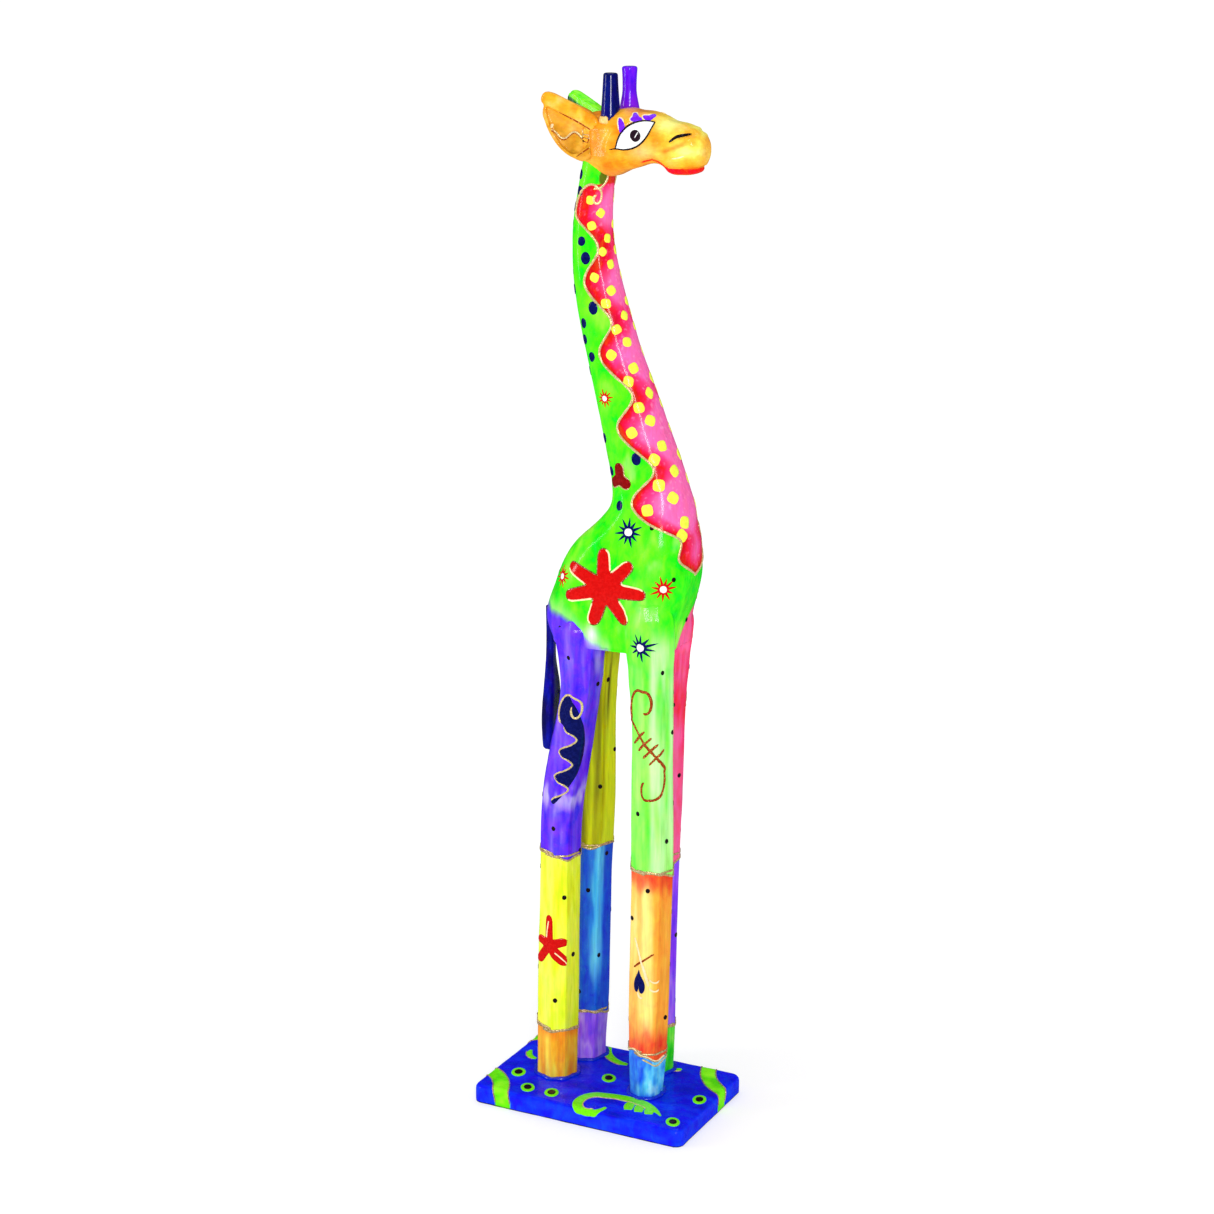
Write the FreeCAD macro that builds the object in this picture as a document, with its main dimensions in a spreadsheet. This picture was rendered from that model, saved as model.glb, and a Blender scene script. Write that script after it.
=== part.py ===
"""Carved wooden giraffe on a board: carved pieces glued on dowels, feet screwed to the board.

Millimetres. +X is the way the giraffe faces, +Y its left side, +Z up.
The origin is the middle of the board's underside.
"""
import FreeCAD, Part
import os
from math import pi
import Sketcher

# Single driving sizes, one spreadsheet cell each.
DIMENSIONS = {
    "board_depth": 222,
    "board_width": 140,
    "board_corner": 9,
    "board_height": 18,
    "board_edge_round": 5,
    "middle_y": 21,
    "glue_gap": 1,
    "leg_dowel_radius": 7,
    "leg_dowel_length": 60,
    "neck_dowel_radius": 5,
    "neck_dowel_length": 48,
    "neck_dowel_start": 898,
    "neck_dowel_x": -19,
    "horn_dowel_radius": 3,
    "horn_dowel_length": 24,
    "horn_dowel_start": 947,
    "horn_seat": 938,
    "horn_top_round": 2,
    "horn_spread": 12.5,
    "ear_thickness": 9,
    "ear_dish_depth": 3.5,
    "ear_edge_round": 1.5,
    "ear_flare": 15,
    "ear_pivot_x": -17,
    "ear_spread": 17,
    "ear_dowel_radius": 2,
    "ear_dowel_length": 28,
    "ear_dowel_start": -16,
    "ear_dowel_height": 932,
    "tail_peg_radius": 2.5,
    "tail_peg_length": 20,
    "tail_peg_start": -73,
    "tail_peg_height": 482,
    "tail_end_round": 4,
    "screw_head_radius": 4.2,
    "screw_head_land": 0.5,
    "screw_shank_radius": 2.1,
    "screw_length": 46,
    "screw_tip": 6,
    "screw_recess": 0.8,
    "screw_clearance": 0.2,
}

# A station is one cross-section of a carved piece: a rounded rectangle square to the piece's long
# axis. Legs stand up, so place is the height, centre is x, depth is along x and width along y.
LEG_FIELDS = ("place", "centre", "centre_y", "depth", "width", "corner")
LEG_STATIONS = {
    "front_right": {
        "foot": (18, 46.5, -6, 28, 31, 9),
        "ankle": (58, 47.5, -6, 34, 34, 11),
        "shin": (130, 49, -6, 37, 36, 12),
        "knee": (250, 51.5, -5, 38, 37, 12),
        "forearm": (370, 52, -5, 39, 38, 13),
        "elbow": (430, 50.5, -5, 41, 39, 14),
        "top": (465, 45.5, -4, 47, 40, 16),
    },
    "front_left": {
        "foot": (18, 27.5, 46, 35, 34, 11),
        "ankle": (66, 28, 46, 37, 36, 12),
        "shin": (150, 29.5, 46, 37, 36, 12),
        "knee": (242, 31, 46.5, 37, 37, 12),
        "forearm": (350, 35, 47, 36.5, 37, 12),
        "elbow": (425, 38.5, 46.5, 37, 38, 13),
        "top": (465, 42, 46, 44, 40, 15),
    },
    "rear_right": {
        "foot": (18, -53, -4, 38, 36, 12),
        "ankle": (80, -51.5, -4, 39, 38, 13),
        "shin": (160, -49.5, -4, 38.5, 38, 13),
        "hock": (250, -47.5, -4, 37.5, 38, 13),
        "gaskin": (310, -44, -4, 39, 38, 13),
        "thigh": (360, -35, -4, 38, 38, 13),
        "narrow": (408, -26.5, -4, 36, 38, 13),
        "groin": (438, -24.5, -4, 40, 39, 14),
        "top": (465, -29, -4, 50, 40, 16),
    },
    "rear_left": {
        "foot": (18, -48.5, 46.5, 36, 35, 12),
        "ankle": (75, -47, 47, 38, 37, 13),
        "shin": (160, -45, 47, 38, 38, 13),
        "hock": (225, -43, 47, 38, 38, 13),
        "gaskin": (290, -39.5, 47, 37.5, 38, 13),
        "thigh": (390, -38, 47, 37, 38, 13),
        "groin": (430, -36.5, 46.5, 39, 39, 13),
        "top": (465, -33, 46, 43, 40, 15),
    },
}

# The body and the tail are upright too, and centred on the statue's middle plane.
MIDDLE_FIELDS = ("place", "centre", "depth", "width", "corner")
BODY_STATIONS = {
    "belly": (465, 5.5, 119, 88, 20),
    "flank": (478, 3, 127, 90, 27),
    "rump": (492, 2, 134, 90, 33),
    "barrel": (515, 8.5, 135, 88, 35),
    "back": (540, 15.5, 131, 85, 35),
    "withers": (553, 19, 124, 82, 35),
    "saddle": (565, 24, 113.5, 79, 34),
    "shoulder": (577, 29.5, 98.5, 74, 32),
    "crest": (588, 34, 86.5, 68, 30),
    "nape": (600, 37, 77.5, 62, 27),
    "throat": (613, 35.5, 73, 57, 25),
    "neck_low": (655, 23.5, 65, 51, 22),
    "neck_lower": (699, 9.5, 58, 46, 20),
    "neck_middle": (743, -5, 51, 41, 18),
    "neck_upper": (787, -17, 46, 38, 16.5),
    "neck_high": (830, -24.5, 39, 35, 15),
    "neck_bend": (853, -26, 36, 33.5, 14.5),
    "neck_top": (876, -24.5, 33, 32, 13.5),
    "neck_rim": (896, -21.5, 31, 31, 13),
    "neck_end": (922, -18, 29, 29, 12.5),
}

TAIL_STATIONS = {
    "root": (489, -69.5, 13, 13, 5),
    "dock": (474, -70.5, 11, 12, 4.5),
    "switch": (432, -72, 9.5, 12, 4),
    "tuft_start": (410, -71.5, 12, 19, 5),
    "tuft": (392, -72, 13, 22, 5.5),
    "tuft_low": (364, -72.5, 13, 22, 5.5),
    "tail_end": (345, -72.5, 12, 19, 5),
}

# The head lies along x: place is x, centre is the height, depth is along y and width upwards.
HEAD_STATIONS = {
    "occiput": (-45, 933, 18, 20, 7),
    "poll": (-38, 932, 34, 36, 14),
    "skull": (-20, 932, 42, 53, 19),
    "brow": (0, 931, 50, 59, 21),
    "eye": (16, 935, 51, 54, 21),
    "cheek": (30, 936.5, 44, 48, 18),
    "muzzle_root": (44, 936.5, 38, 45.5, 16),
    "mouth_corner": (54, 932, 37, 48, 15),
    "nostril": (67, 929.5, 37, 48, 15),
    "lips": (79.5, 927.5, 34, 41, 14),
    "nose": (87.5, 927.5, 26, 28, 11),
    "nose_tip": (91.5, 927.5, 14, 15, 6),
}

# Horns are turned round an upright axis; their sides are slightly hollow arcs.
HORN_SIZES = {
    "right": {"centre_x": -1.7, "seat_radius": 10.8, "rim_radius": 6.4, "top": 993.5, "hollow": 900},
    "left": {"centre_x": 4.8, "seat_radius": 10, "rim_radius": 7.3, "top": 998, "hollow": 230},
}

# Poles of the ear's leaf outline and of its carved dish: run behind the pivot, and height.
POLE_FIELDS = ("run", "rise")
EAR_LEAF = {
    "root_top": (8, 956),
    "top_front": (-12, 964),
    "top_back": (-30, 971),
    "tip": (-45, 978),
    "tip_back": (-47.5, 962),
    "back": (-41, 939),
    "lobe_back": (-27, 921),
    "lobe": (-12, 915),
    "root_bottom": (8, 920),
}
EAR_DISH = {
    "inner": (3, 938),
    "top_front": (-18, 951),
    "top_back": (-34, 962),
    "tip": (-45, 965),
    "back": (-38, 941),
    "lobe_back": (-26, 925),
    "lobe": (-14, 918),
}

SIDES = {"right": -1, "left": 1}
LEGS = tuple(LEG_STATIONS)


def write_cells(sheet, cells):
    """Write alias and value pairs below the rows already used."""
    first_row = len(sheet.getUsedCells()) // 2 + 1
    for row, (alias, value) in enumerate(cells.items(), first_row):
        sheet.set(f"A{row}", alias)
        sheet.set(f"B{row}", str(value))
        sheet.setAlias(f"B{row}", alias)


def table_cells(prefix, table, fields):
    """Name one cell for each field of each row of a table."""
    return {
        f"{prefix}_{row}_{field}": value
        for row, values in table.items()
        for field, value in zip(fields, values)
    }


def make_sheet(doc):
    """Make the spreadsheet that holds every driving size."""
    sheet = doc.addObject("Spreadsheet::Sheet", "Sizes")
    write_cells(sheet, DIMENSIONS)
    for leg, stations in LEG_STATIONS.items():
        write_cells(sheet, table_cells(f"leg_{leg}", stations, LEG_FIELDS))
    write_cells(sheet, table_cells("body", BODY_STATIONS, MIDDLE_FIELDS))
    write_cells(sheet, table_cells("tail", TAIL_STATIONS, MIDDLE_FIELDS))
    write_cells(sheet, table_cells("head", HEAD_STATIONS, MIDDLE_FIELDS))
    for side, sizes in HORN_SIZES.items():
        write_cells(sheet, {f"horn_{side}_{name}": value for name, value in sizes.items()})
    write_cells(sheet, table_cells("leaf", EAR_LEAF, POLE_FIELDS))
    write_cells(sheet, table_cells("dish", EAR_DISH, POLE_FIELDS))
    doc.recompute()
    return sheet


def bind(item, **expressions):
    """Bind properties to expressions; a double underscore in a name stands for a dot."""
    for name, expression in expressions.items():
        item.setExpression(name.replace("__", "."), expression)


def new_sketch(body, name, role):
    """Make an empty sketch on one of the body's own origin planes."""
    sketch = body.newObject("Sketcher::SketchObject", name)
    plane = next(item for item in body.Origin.OriginFeatures if item.Role == role)
    sketch.AttachmentSupport = [(plane, "")]
    sketch.MapMode = "FlatFace"
    return sketch


def name_constraint(sketch, constraint, name, expression):
    """Add a dimension, name it and bind it to an expression."""
    index = sketch.addConstraint(constraint)
    sketch.renameConstraint(index, name)
    sketch.setExpression(f"Constraints.{name}", expression)


def rounded_rectangle(sketch, sheet, cell):
    """Draw a rounded rectangle about the sketch's origin, sized by three cells."""
    half_depth = sheet.get(f"{cell}_depth") / 2
    half_width = sheet.get(f"{cell}_width") / 2
    corner = sheet.get(f"{cell}_corner")
    flat_a = half_depth - corner
    flat_b = half_width - corner
    sides = (
        ((-flat_a, -half_width), (flat_a, -half_width)),
        ((half_depth, -flat_b), (half_depth, flat_b)),
        ((flat_a, half_width), (-flat_a, half_width)),
        ((-half_depth, flat_b), (-half_depth, -flat_b)),
    )
    corners = ((flat_a, -flat_b), (flat_a, flat_b), (-flat_a, flat_b), (-flat_a, -flat_b))
    for quarter, (ends, centre) in enumerate(zip(sides, corners)):
        start, end = (FreeCAD.Vector(*point) for point in ends)
        sketch.addGeometry(Part.LineSegment(start, end), False)
        circle = Part.Circle(FreeCAD.Vector(*centre), FreeCAD.Vector(0, 0, 1), corner)
        first_angle = (quarter - 1) * pi / 2
        sketch.addGeometry(Part.ArcOfCircle(circle, first_angle, first_angle + pi / 2), False)
    bottom, first_arc, right, top, left = 0, 1, 2, 4, 6
    other_arcs = (3, 5, 7)
    for edge in range(8):
        sketch.addConstraint(Sketcher.Constraint("Tangent", edge, 2, (edge + 1) % 8, 1))
    for edge in (bottom, top):
        sketch.addConstraint(Sketcher.Constraint("Horizontal", edge))
    for edge in (right, left):
        sketch.addConstraint(Sketcher.Constraint("Vertical", edge))
    for arc in other_arcs:
        sketch.addConstraint(Sketcher.Constraint("Equal", first_arc, arc))
    sketch.addConstraint(Sketcher.Constraint("Symmetric", bottom, 1, top, 1, -1, 1))
    depth = Sketcher.Constraint("DistanceX", left, 1, right, 1, 2 * half_depth)
    name_constraint(sketch, depth, "depth", f"Sizes.{cell}_depth")
    width = Sketcher.Constraint("DistanceY", bottom, 1, top, 1, 2 * half_width)
    name_constraint(sketch, width, "width", f"Sizes.{cell}_width")
    name_constraint(sketch, Sketcher.Constraint("Radius", first_arc, corner), "corner",
                    f"Sizes.{cell}_corner")


def lofted_blank(doc, sheet, name, cell, stations, plane, centre_a, centre_b):
    """Carve one blank: a loft through rounded rectangles parallel to an origin plane.

    centre_a and centre_b are the cells of a section's centre along the plane's two axes; an
    asterisk in them stands for the station.
    """
    body = doc.addObject("PartDesign::Body", name)
    sketches = []
    for station in stations:
        sketch = new_sketch(body, f"{name}_{station}", plane)
        station_cell = f"{cell}_{station}"
        rounded_rectangle(sketch, sheet, station_cell)
        bind(
            sketch,
            AttachmentOffset__Base__x=f"Sizes.{centre_a}".replace("*", station_cell),
            AttachmentOffset__Base__y=f"Sizes.{centre_b}".replace("*", station_cell),
            AttachmentOffset__Base__z=f"Sizes.{station_cell}_place",
        )
        sketches.append(sketch)
    loft = body.newObject("PartDesign::AdditiveLoft", f"{name}_loft")
    loft.Profile = (sketches[0], [""])
    loft.Sections = [(sketch, [""]) for sketch in sketches[1:]]
    body.Tip = loft
    return body


def round_edges(body, name, radius, chosen):
    """Round the chosen edges of the body's last feature by the radius in a cell."""
    solid = body.Tip
    names = [f"Edge{number}" for number, edge in enumerate(solid.Shape.Edges, 1) if chosen(edge)]
    fillet = body.newObject("PartDesign::Fillet", name)
    fillet.Base = (solid, names)
    bind(fillet, Radius=f"Sizes.{radius}")
    body.Tip = fillet


def lies_at_height(height):
    """Test for edges that lie flat at one height."""
    return lambda edge: all(abs(vertex.Z - height) < 1e-6 for vertex in edge.Vertexes)


def turned_blank(doc, name, corners, hollow=None):
    """Turn an outline round its own upright axis.

    corners are (radius, height) expressions from the bottom of the axis to its top; the outline
    closes along the axis. hollow is the cell of the radius of an arc that replaces the second
    side and bends towards the axis.
    """
    body = doc.addObject("PartDesign::Body", name)
    sketch = new_sketch(body, f"{name}_outline", "XZ_Plane")
    starts = [FreeCAD.Vector(body.evalExpression(r), body.evalExpression(z), 0) for r, z in corners]
    count = len(corners)
    arc = 1 if hollow else None
    for index, begin in enumerate(starts):
        finish = starts[(index + 1) % count]
        if index == arc:
            side = hollow_arc(begin, finish, body.evalExpression(hollow))
        else:
            side = Part.LineSegment(begin, finish)
        sketch.addGeometry(side, False)
    for index, (radius, height) in enumerate(corners):
        before = (index - 1) % count
        begin_end = 2 if index == arc else 1
        finish_end = 1 if before == arc else 2
        sketch.addConstraint(
            Sketcher.Constraint("Coincident", before, finish_end, index, begin_end)
        )
        if radius == "0":
            sketch.addConstraint(Sketcher.Constraint("PointOnObject", index, begin_end, -2))
        else:
            across = Sketcher.Constraint("DistanceX", -1, 1, index, begin_end, starts[index].x)
            name_constraint(sketch, across, f"radius_{index}", radius)
        upwards = Sketcher.Constraint("DistanceY", -1, 1, index, begin_end, starts[index].y)
        name_constraint(sketch, upwards, f"height_{index}", height)
    if hollow:
        bend = Sketcher.Constraint("Radius", arc, body.evalExpression(hollow))
        name_constraint(sketch, bend, "hollow", hollow)
    turn = body.newObject("PartDesign::Revolution", f"{name}_turn")
    turn.Profile = (sketch, [""])
    turn.ReferenceAxis = (sketch, ["V_Axis"])
    turn.Angle = 360
    body.Tip = turn
    return body


def hollow_arc(begin, finish, radius):
    """Arc of the given radius from begin up to finish that bends towards the axis."""
    chord = finish - begin
    outward = FreeCAD.Vector(chord.y, -chord.x, 0).normalize()
    reach = (radius**2 - (chord.Length / 2) ** 2) ** 0.5
    centre = (begin + finish) * 0.5 + outward * reach
    circle = Part.Circle(centre, FreeCAD.Vector(0, 0, 1), radius)
    return Part.ArcOfCircle(circle, circle.parameter(finish), circle.parameter(begin))


def closed_spline(sketch, sheet, cell, poles):
    """Draw a closed spline whose poles are bound to cells."""
    points = [
        FreeCAD.Vector(sheet.get(f"{cell}_{pole}_run"), sheet.get(f"{cell}_{pole}_rise"), 0)
        for pole in poles
    ]
    curve = Part.BSplineCurve()
    curve.buildFromPoles(points, True, 3)
    spline = sketch.addGeometry(curve, False)
    sketch.exposeInternalGeometry(spline)
    for number, (pole, point) in enumerate(zip(poles, points), 1):
        circle = spline + number
        along = Sketcher.Constraint("DistanceX", -1, 1, circle, 3, point.x)
        name_constraint(sketch, along, f"{pole}_run", f"Sizes.{cell}_{pole}_run")
        upwards = Sketcher.Constraint("DistanceY", -1, 1, circle, 3, point.y)
        name_constraint(sketch, upwards, f"{pole}_rise", f"Sizes.{cell}_{pole}_rise")


def cut_away(doc, name, blank, tools):
    """Cut tools out of a blank one after the other; the last cut carries the name."""
    piece = blank
    for number, tool in enumerate(tools, 1):
        cut = doc.addObject("Part::Cut", name if number == len(tools) else f"{name}_cut_{number}")
        cut.Base = piece
        cut.Tool = tool
        piece = cut
    return piece


def dowel_and_bore(doc, name, cell, start, place, turn=FreeCAD.Rotation()):
    """Make a dowel and the bore it is glued in, which is a glue gap longer at each end.

    start is where the dowel begins along its axis, and place turns a start into x, y and z.
    """
    pieces = []
    for label, gap in ((name, "0"), (f"{name}_bore", "Sizes.glue_gap")):
        rod = doc.addObject("Part::Cylinder", label)
        rod.Placement.Rotation = turn
        bind(rod, Radius=f"Sizes.{cell}_radius", Height=f"Sizes.{cell}_length + 2 * {gap}")
        x, y, z = place(f"({start} - {gap})")
        bind(rod, Placement__Base__x=x, Placement__Base__y=y, Placement__Base__z=z)
        pieces.append(rod)
    return pieces


def board(doc, sheet):
    """The rounded board, with a countersunk screw hole under each foot."""
    body = doc.addObject("PartDesign::Body", "base_board")
    outline = new_sketch(body, "board_outline", "XY_Plane")
    rounded_rectangle(outline, sheet, "board")
    pad = body.newObject("PartDesign::Pad", "board_pad")
    pad.Profile = (outline, [""])
    bind(pad, Length="Sizes.board_height")
    body.Tip = pad
    doc.recompute()
    round_edges(body, "board_rounding", "board_edge_round", lies_at_height(sheet.get("board_height")))
    holes = new_sketch(body, "board_hole_centres", "XY_Plane")
    for number, leg in enumerate(LEGS):
        x = sheet.get(f"leg_{leg}_foot_centre")
        y = sheet.get(f"leg_{leg}_foot_centre_y")
        radius = sheet.get("screw_shank_radius")
        circle = Part.Circle(FreeCAD.Vector(x, y, 0), FreeCAD.Vector(0, 0, 1), radius)
        holes.addGeometry(circle, False)
        along = Sketcher.Constraint("DistanceX", -1, 1, number, 3, x)
        name_constraint(holes, along, f"{leg}_x", f"Sizes.leg_{leg}_foot_centre")
        across = Sketcher.Constraint("DistanceY", -1, 1, number, 3, y)
        name_constraint(holes, across, f"{leg}_y", f"Sizes.leg_{leg}_foot_centre_y")
        size = Sketcher.Constraint("Radius", number, radius)
        name_constraint(holes, size, f"{leg}_radius", "Sizes.screw_shank_radius")
    doc.recompute()
    hole = body.newObject("PartDesign::Hole", "board_holes")
    hole.Profile = (holes, [""])
    hole.Reversed = True
    hole.DepthType = "ThroughAll"
    hole.HoleCutType = "Countersink"
    hole.HoleCutCountersinkAngle = 90
    bind(
        hole,
        Diameter="2 * (Sizes.screw_shank_radius + Sizes.screw_clearance)",
        HoleCutDiameter="2 * (Sizes.screw_head_radius + Sizes.screw_recess + Sizes.screw_head_land)",
    )
    body.Tip = hole
    return body


def foot_screw(doc, leg):
    """Countersunk wood screw from under the board up into a foot, and its pilot bore."""
    head, shank = "Sizes.screw_head_radius", "Sizes.screw_shank_radius"
    seat = "Sizes.screw_recess"
    cone = f"{seat} + Sizes.screw_head_land"
    end = f"{seat} + Sizes.screw_length"
    corners = (
        ("0", seat),
        (head, seat),
        (head, cone),
        (shank, f"{cone} + {head} - {shank}"),
        (shank, f"{end} - Sizes.screw_tip"),
        ("0", end),
    )
    screw = turned_blank(doc, f"foot_screw_{leg}", corners)
    pilot = doc.addObject("Part::Cylinder", f"foot_pilot_{leg}")
    bind(pilot, Radius=shank, Height=f"{end} + Sizes.glue_gap")
    for piece in (screw, pilot):
        bind(
            piece,
            Placement__Base__x=f"Sizes.leg_{leg}_foot_centre",
            Placement__Base__y=f"Sizes.leg_{leg}_foot_centre_y",
        )
    return pilot


def leg_and_dowel(doc, sheet, leg):
    """One whittled leg with its screw below and its dowel above; returns the dowel's bore."""
    blank = lofted_blank(
        doc, sheet, f"leg_{leg}_blank", f"leg_{leg}", LEG_STATIONS[leg], "XY_Plane",
        "*_centre", "*_centre_y",
    )
    top = f"Sizes.leg_{leg}_top"
    _, bore = dowel_and_bore(
        doc,
        f"leg_dowel_{leg}",
        "leg_dowel",
        f"{top}_place - Sizes.leg_dowel_length / 2",
        lambda start: (f"{top}_centre", f"{top}_centre_y", start),
    )
    cut_away(doc, f"leg_{leg}", blank, (bore, foot_screw(doc, leg)))
    return bore


def tail_and_peg(doc, sheet, body_blank):
    """The tail, hung from a level peg in the rump; returns the peg's bore."""
    blank = lofted_blank(
        doc, sheet, "tail_blank", "tail", TAIL_STATIONS, "XY_Plane", "*_centre", "middle_y"
    )
    doc.recompute()
    tail_bottom = sheet.get("tail_tail_end_place")
    round_edges(blank, "tail_rounding", "tail_end_round", lies_at_height(tail_bottom))
    along_x = FreeCAD.Rotation(FreeCAD.Vector(0, 1, 0), 90)
    _, bore = dowel_and_bore(
        doc,
        "tail_peg",
        "tail_peg",
        "Sizes.tail_peg_start",
        lambda start: (start, "Sizes.middle_y", "Sizes.tail_peg_height"),
        along_x,
    )
    cut_away(doc, "tail", blank, (body_blank, bore))
    return bore


def horn_and_dowel(doc, side, head_blank):
    """One turned horn, seated on the head over a dowel; returns the dowel's bore."""
    cell = f"Sizes.horn_{side}"
    seat, top = "Sizes.horn_seat", f"{cell}_top"
    corners = (("0", seat), (f"{cell}_seat_radius", seat), (f"{cell}_rim_radius", top), ("0", top))
    blank = turned_blank(doc, f"horn_{side}_blank", corners, f"{cell}_hollow")
    doc.recompute()
    round_edges(blank, f"horn_{side}_rounding", "horn_top_round",
                lies_at_height(blank.evalExpression(top)))
    centre_x = f"{cell}_centre_x"
    centre_y = f"Sizes.middle_y + {SIDES[side]} * Sizes.horn_spread"
    bind(blank, Placement__Base__x=centre_x, Placement__Base__y=centre_y)
    _, bore = dowel_and_bore(
        doc,
        f"horn_dowel_{side}",
        "horn_dowel",
        "Sizes.horn_dowel_start",
        lambda start: (centre_x, centre_y, start),
    )
    cut_away(doc, f"horn_{side}", blank, (head_blank, bore))
    return bore


def ear_and_dowel(doc, sheet, side, head_blank):
    """One leaf-shaped ear with a carved dish, set on the head over a dowel; returns its bore."""
    sign = SIDES[side]
    blank = doc.addObject("PartDesign::Body", f"ear_{side}_blank")
    leaf = new_sketch(blank, f"ear_{side}_leaf", "XZ_Plane")
    closed_spline(leaf, sheet, "leaf", EAR_LEAF)
    pad = blank.newObject("PartDesign::Pad", f"ear_{side}_pad")
    pad.Profile = (leaf, [""])
    pad.SideType = "Symmetric"
    bind(pad, Length="Sizes.ear_thickness")
    blank.Tip = pad
    doc.recompute()
    round_edges(blank, f"ear_{side}_rounding", "ear_edge_round", lambda edge: edge.isClosed())
    dish = new_sketch(blank, f"ear_{side}_dish", "XZ_Plane")
    closed_spline(dish, sheet, "dish", EAR_DISH)
    bind(dish, AttachmentOffset__Base__z=f"{-sign} * Sizes.ear_thickness / 2")
    pocket = blank.newObject("PartDesign::Pocket", f"ear_{side}_pocket")
    pocket.Profile = (dish, [""])
    pocket.Reversed = sign > 0
    bind(pocket, Length="Sizes.ear_dish_depth")
    blank.Tip = pocket
    along_ear = FreeCAD.Rotation(FreeCAD.Vector(0, 0, 1), -sign * sheet.get("ear_flare"))
    blank.Placement.Rotation = along_ear
    side_y = f"Sizes.middle_y + {sign} * Sizes.ear_spread"
    bind(blank, Placement__Base__x="Sizes.ear_pivot_x", Placement__Base__y=side_y)
    run = "cos(Sizes.ear_flare * 1deg)"
    flare = "sin(Sizes.ear_flare * 1deg)"
    inward = "Sizes.ear_dish_depth / 2"
    _, bore = dowel_and_bore(
        doc,
        f"ear_dowel_{side}",
        "ear_dowel",
        "Sizes.ear_dowel_start",
        lambda start: (
            f"Sizes.ear_pivot_x + {start} * {run} - {inward} * {flare}",
            f"{side_y} - {sign} * ({start} * {flare} + {inward} * {run})",
            "Sizes.ear_dowel_height",
        ),
        along_ear.multiply(FreeCAD.Rotation(FreeCAD.Vector(0, 1, 0), 90)),
    )
    cut_away(doc, f"ear_{side}", blank, (head_blank, bore))
    return bore


def node_names():
    """The names of the finished pieces, in building order."""
    names = ["base_board", "body_and_neck", "head", "tail", "tail_peg", "neck_dowel"]
    names += [f"{kind}_{leg}" for leg in LEGS for kind in ("leg", "leg_dowel", "foot_screw")]
    names += [
        f"{kind}_{side}" for side in SIDES for kind in ("horn", "horn_dowel", "ear", "ear_dowel")
    ]
    return names


def build(doc):
    """Build every piece of the statue."""
    sheet = make_sheet(doc)
    board(doc, sheet)
    body_blank = lofted_blank(
        doc, sheet, "body_blank", "body", BODY_STATIONS, "XY_Plane", "*_centre", "middle_y"
    )
    head_blank = lofted_blank(
        doc, sheet, "head_blank", "head", HEAD_STATIONS, "YZ_Plane", "middle_y", "*_centre"
    )
    body_bores = [leg_and_dowel(doc, sheet, leg) for leg in LEGS]
    body_bores.append(tail_and_peg(doc, sheet, body_blank))
    _, neck_bore = dowel_and_bore(
        doc,
        "neck_dowel",
        "neck_dowel",
        "Sizes.neck_dowel_start",
        lambda start: ("Sizes.neck_dowel_x", "Sizes.middle_y", start),
    )
    body_bores.append(neck_bore)
    head_bores = [body_blank, neck_bore]
    for side in SIDES:
        head_bores.append(horn_and_dowel(doc, side, head_blank))
        head_bores.append(ear_and_dowel(doc, sheet, side, head_blank))
    cut_away(doc, "body_and_neck", body_blank, body_bores)
    cut_away(doc, "head", head_blank, head_bores)
    doc.recompute()


def check(doc):
    """Stop with a plain message if any object or piece failed."""
    for item in doc.Objects:
        if {"Invalid", "Error"} & set(item.State):
            raise RuntimeError(f"{item.Name} failed: {item.State}")
    for name in node_names():
        shape = doc.getObject(name).Shape
        if shape.isNull() or not shape.isValid() or len(shape.Solids) != 1:
            raise RuntimeError(f"{name} is not one valid solid")


def export(doc):
    """Write one STEP file for each piece."""
    os.makedirs("parts", exist_ok=True)
    for name in node_names():
        doc.getObject(name).Shape.exportStep(f"parts/{name}.step")


document = FreeCAD.newDocument("giraffe")
build(document)
check(document)
export(document)
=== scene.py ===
"""Looks of the carved and painted wooden giraffe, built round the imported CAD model.

Working lengths are millimetres; meshes are written in metres. +X is the way the giraffe faces and +Z
is up. A bearing goes round an upright piece: 0 is its right side (-Y), 90 its front, 180 its left side
and -90 its back.
"""

from itertools import product

import bpy
import numpy as np
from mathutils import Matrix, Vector
from mathutils.bvhtree import BVHTree
from mathutils.geometry import delaunay_2d_cdt


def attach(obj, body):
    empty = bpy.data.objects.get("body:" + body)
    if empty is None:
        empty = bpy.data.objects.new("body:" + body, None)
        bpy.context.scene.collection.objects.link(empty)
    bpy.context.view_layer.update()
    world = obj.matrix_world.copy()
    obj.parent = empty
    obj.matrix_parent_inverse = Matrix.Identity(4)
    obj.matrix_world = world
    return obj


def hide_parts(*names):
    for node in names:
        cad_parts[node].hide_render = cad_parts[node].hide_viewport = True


MM = 0.001
MIDDLE_Y = 21.0
BOARD_TOP = 18.0
SIDES = {"right": -1, "left": 1}
LEGS = ("front_right", "front_left", "rear_right", "rear_left")
# The ears turn about an upright line: how far back and aside it stands, and the ears' turn in degrees.
EAR_PIVOT_X = -17
EAR_SPREAD = 17
EAR_FLARE = 15
# Half the board's depth and width, where its flat chart folds down.
CHART_FOLD = (112, 70.5)
# Turn, in degrees, between one scattered dot and the next.
GOLDEN_TURN = 137.5


# ---------------------------------------------------------------- numbers and noise

def ramp(value, start, end):
    """Smooth step from 0 at start to 1 at end."""
    t = np.clip((value - start) / (end - start), 0, 1)
    return t * t * (3 - 2 * t)


def bump_at(value, centre, reach):
    """Soft bump of height 1 about a centre."""
    return np.exp(-(((value - centre) / reach) ** 2))


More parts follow.
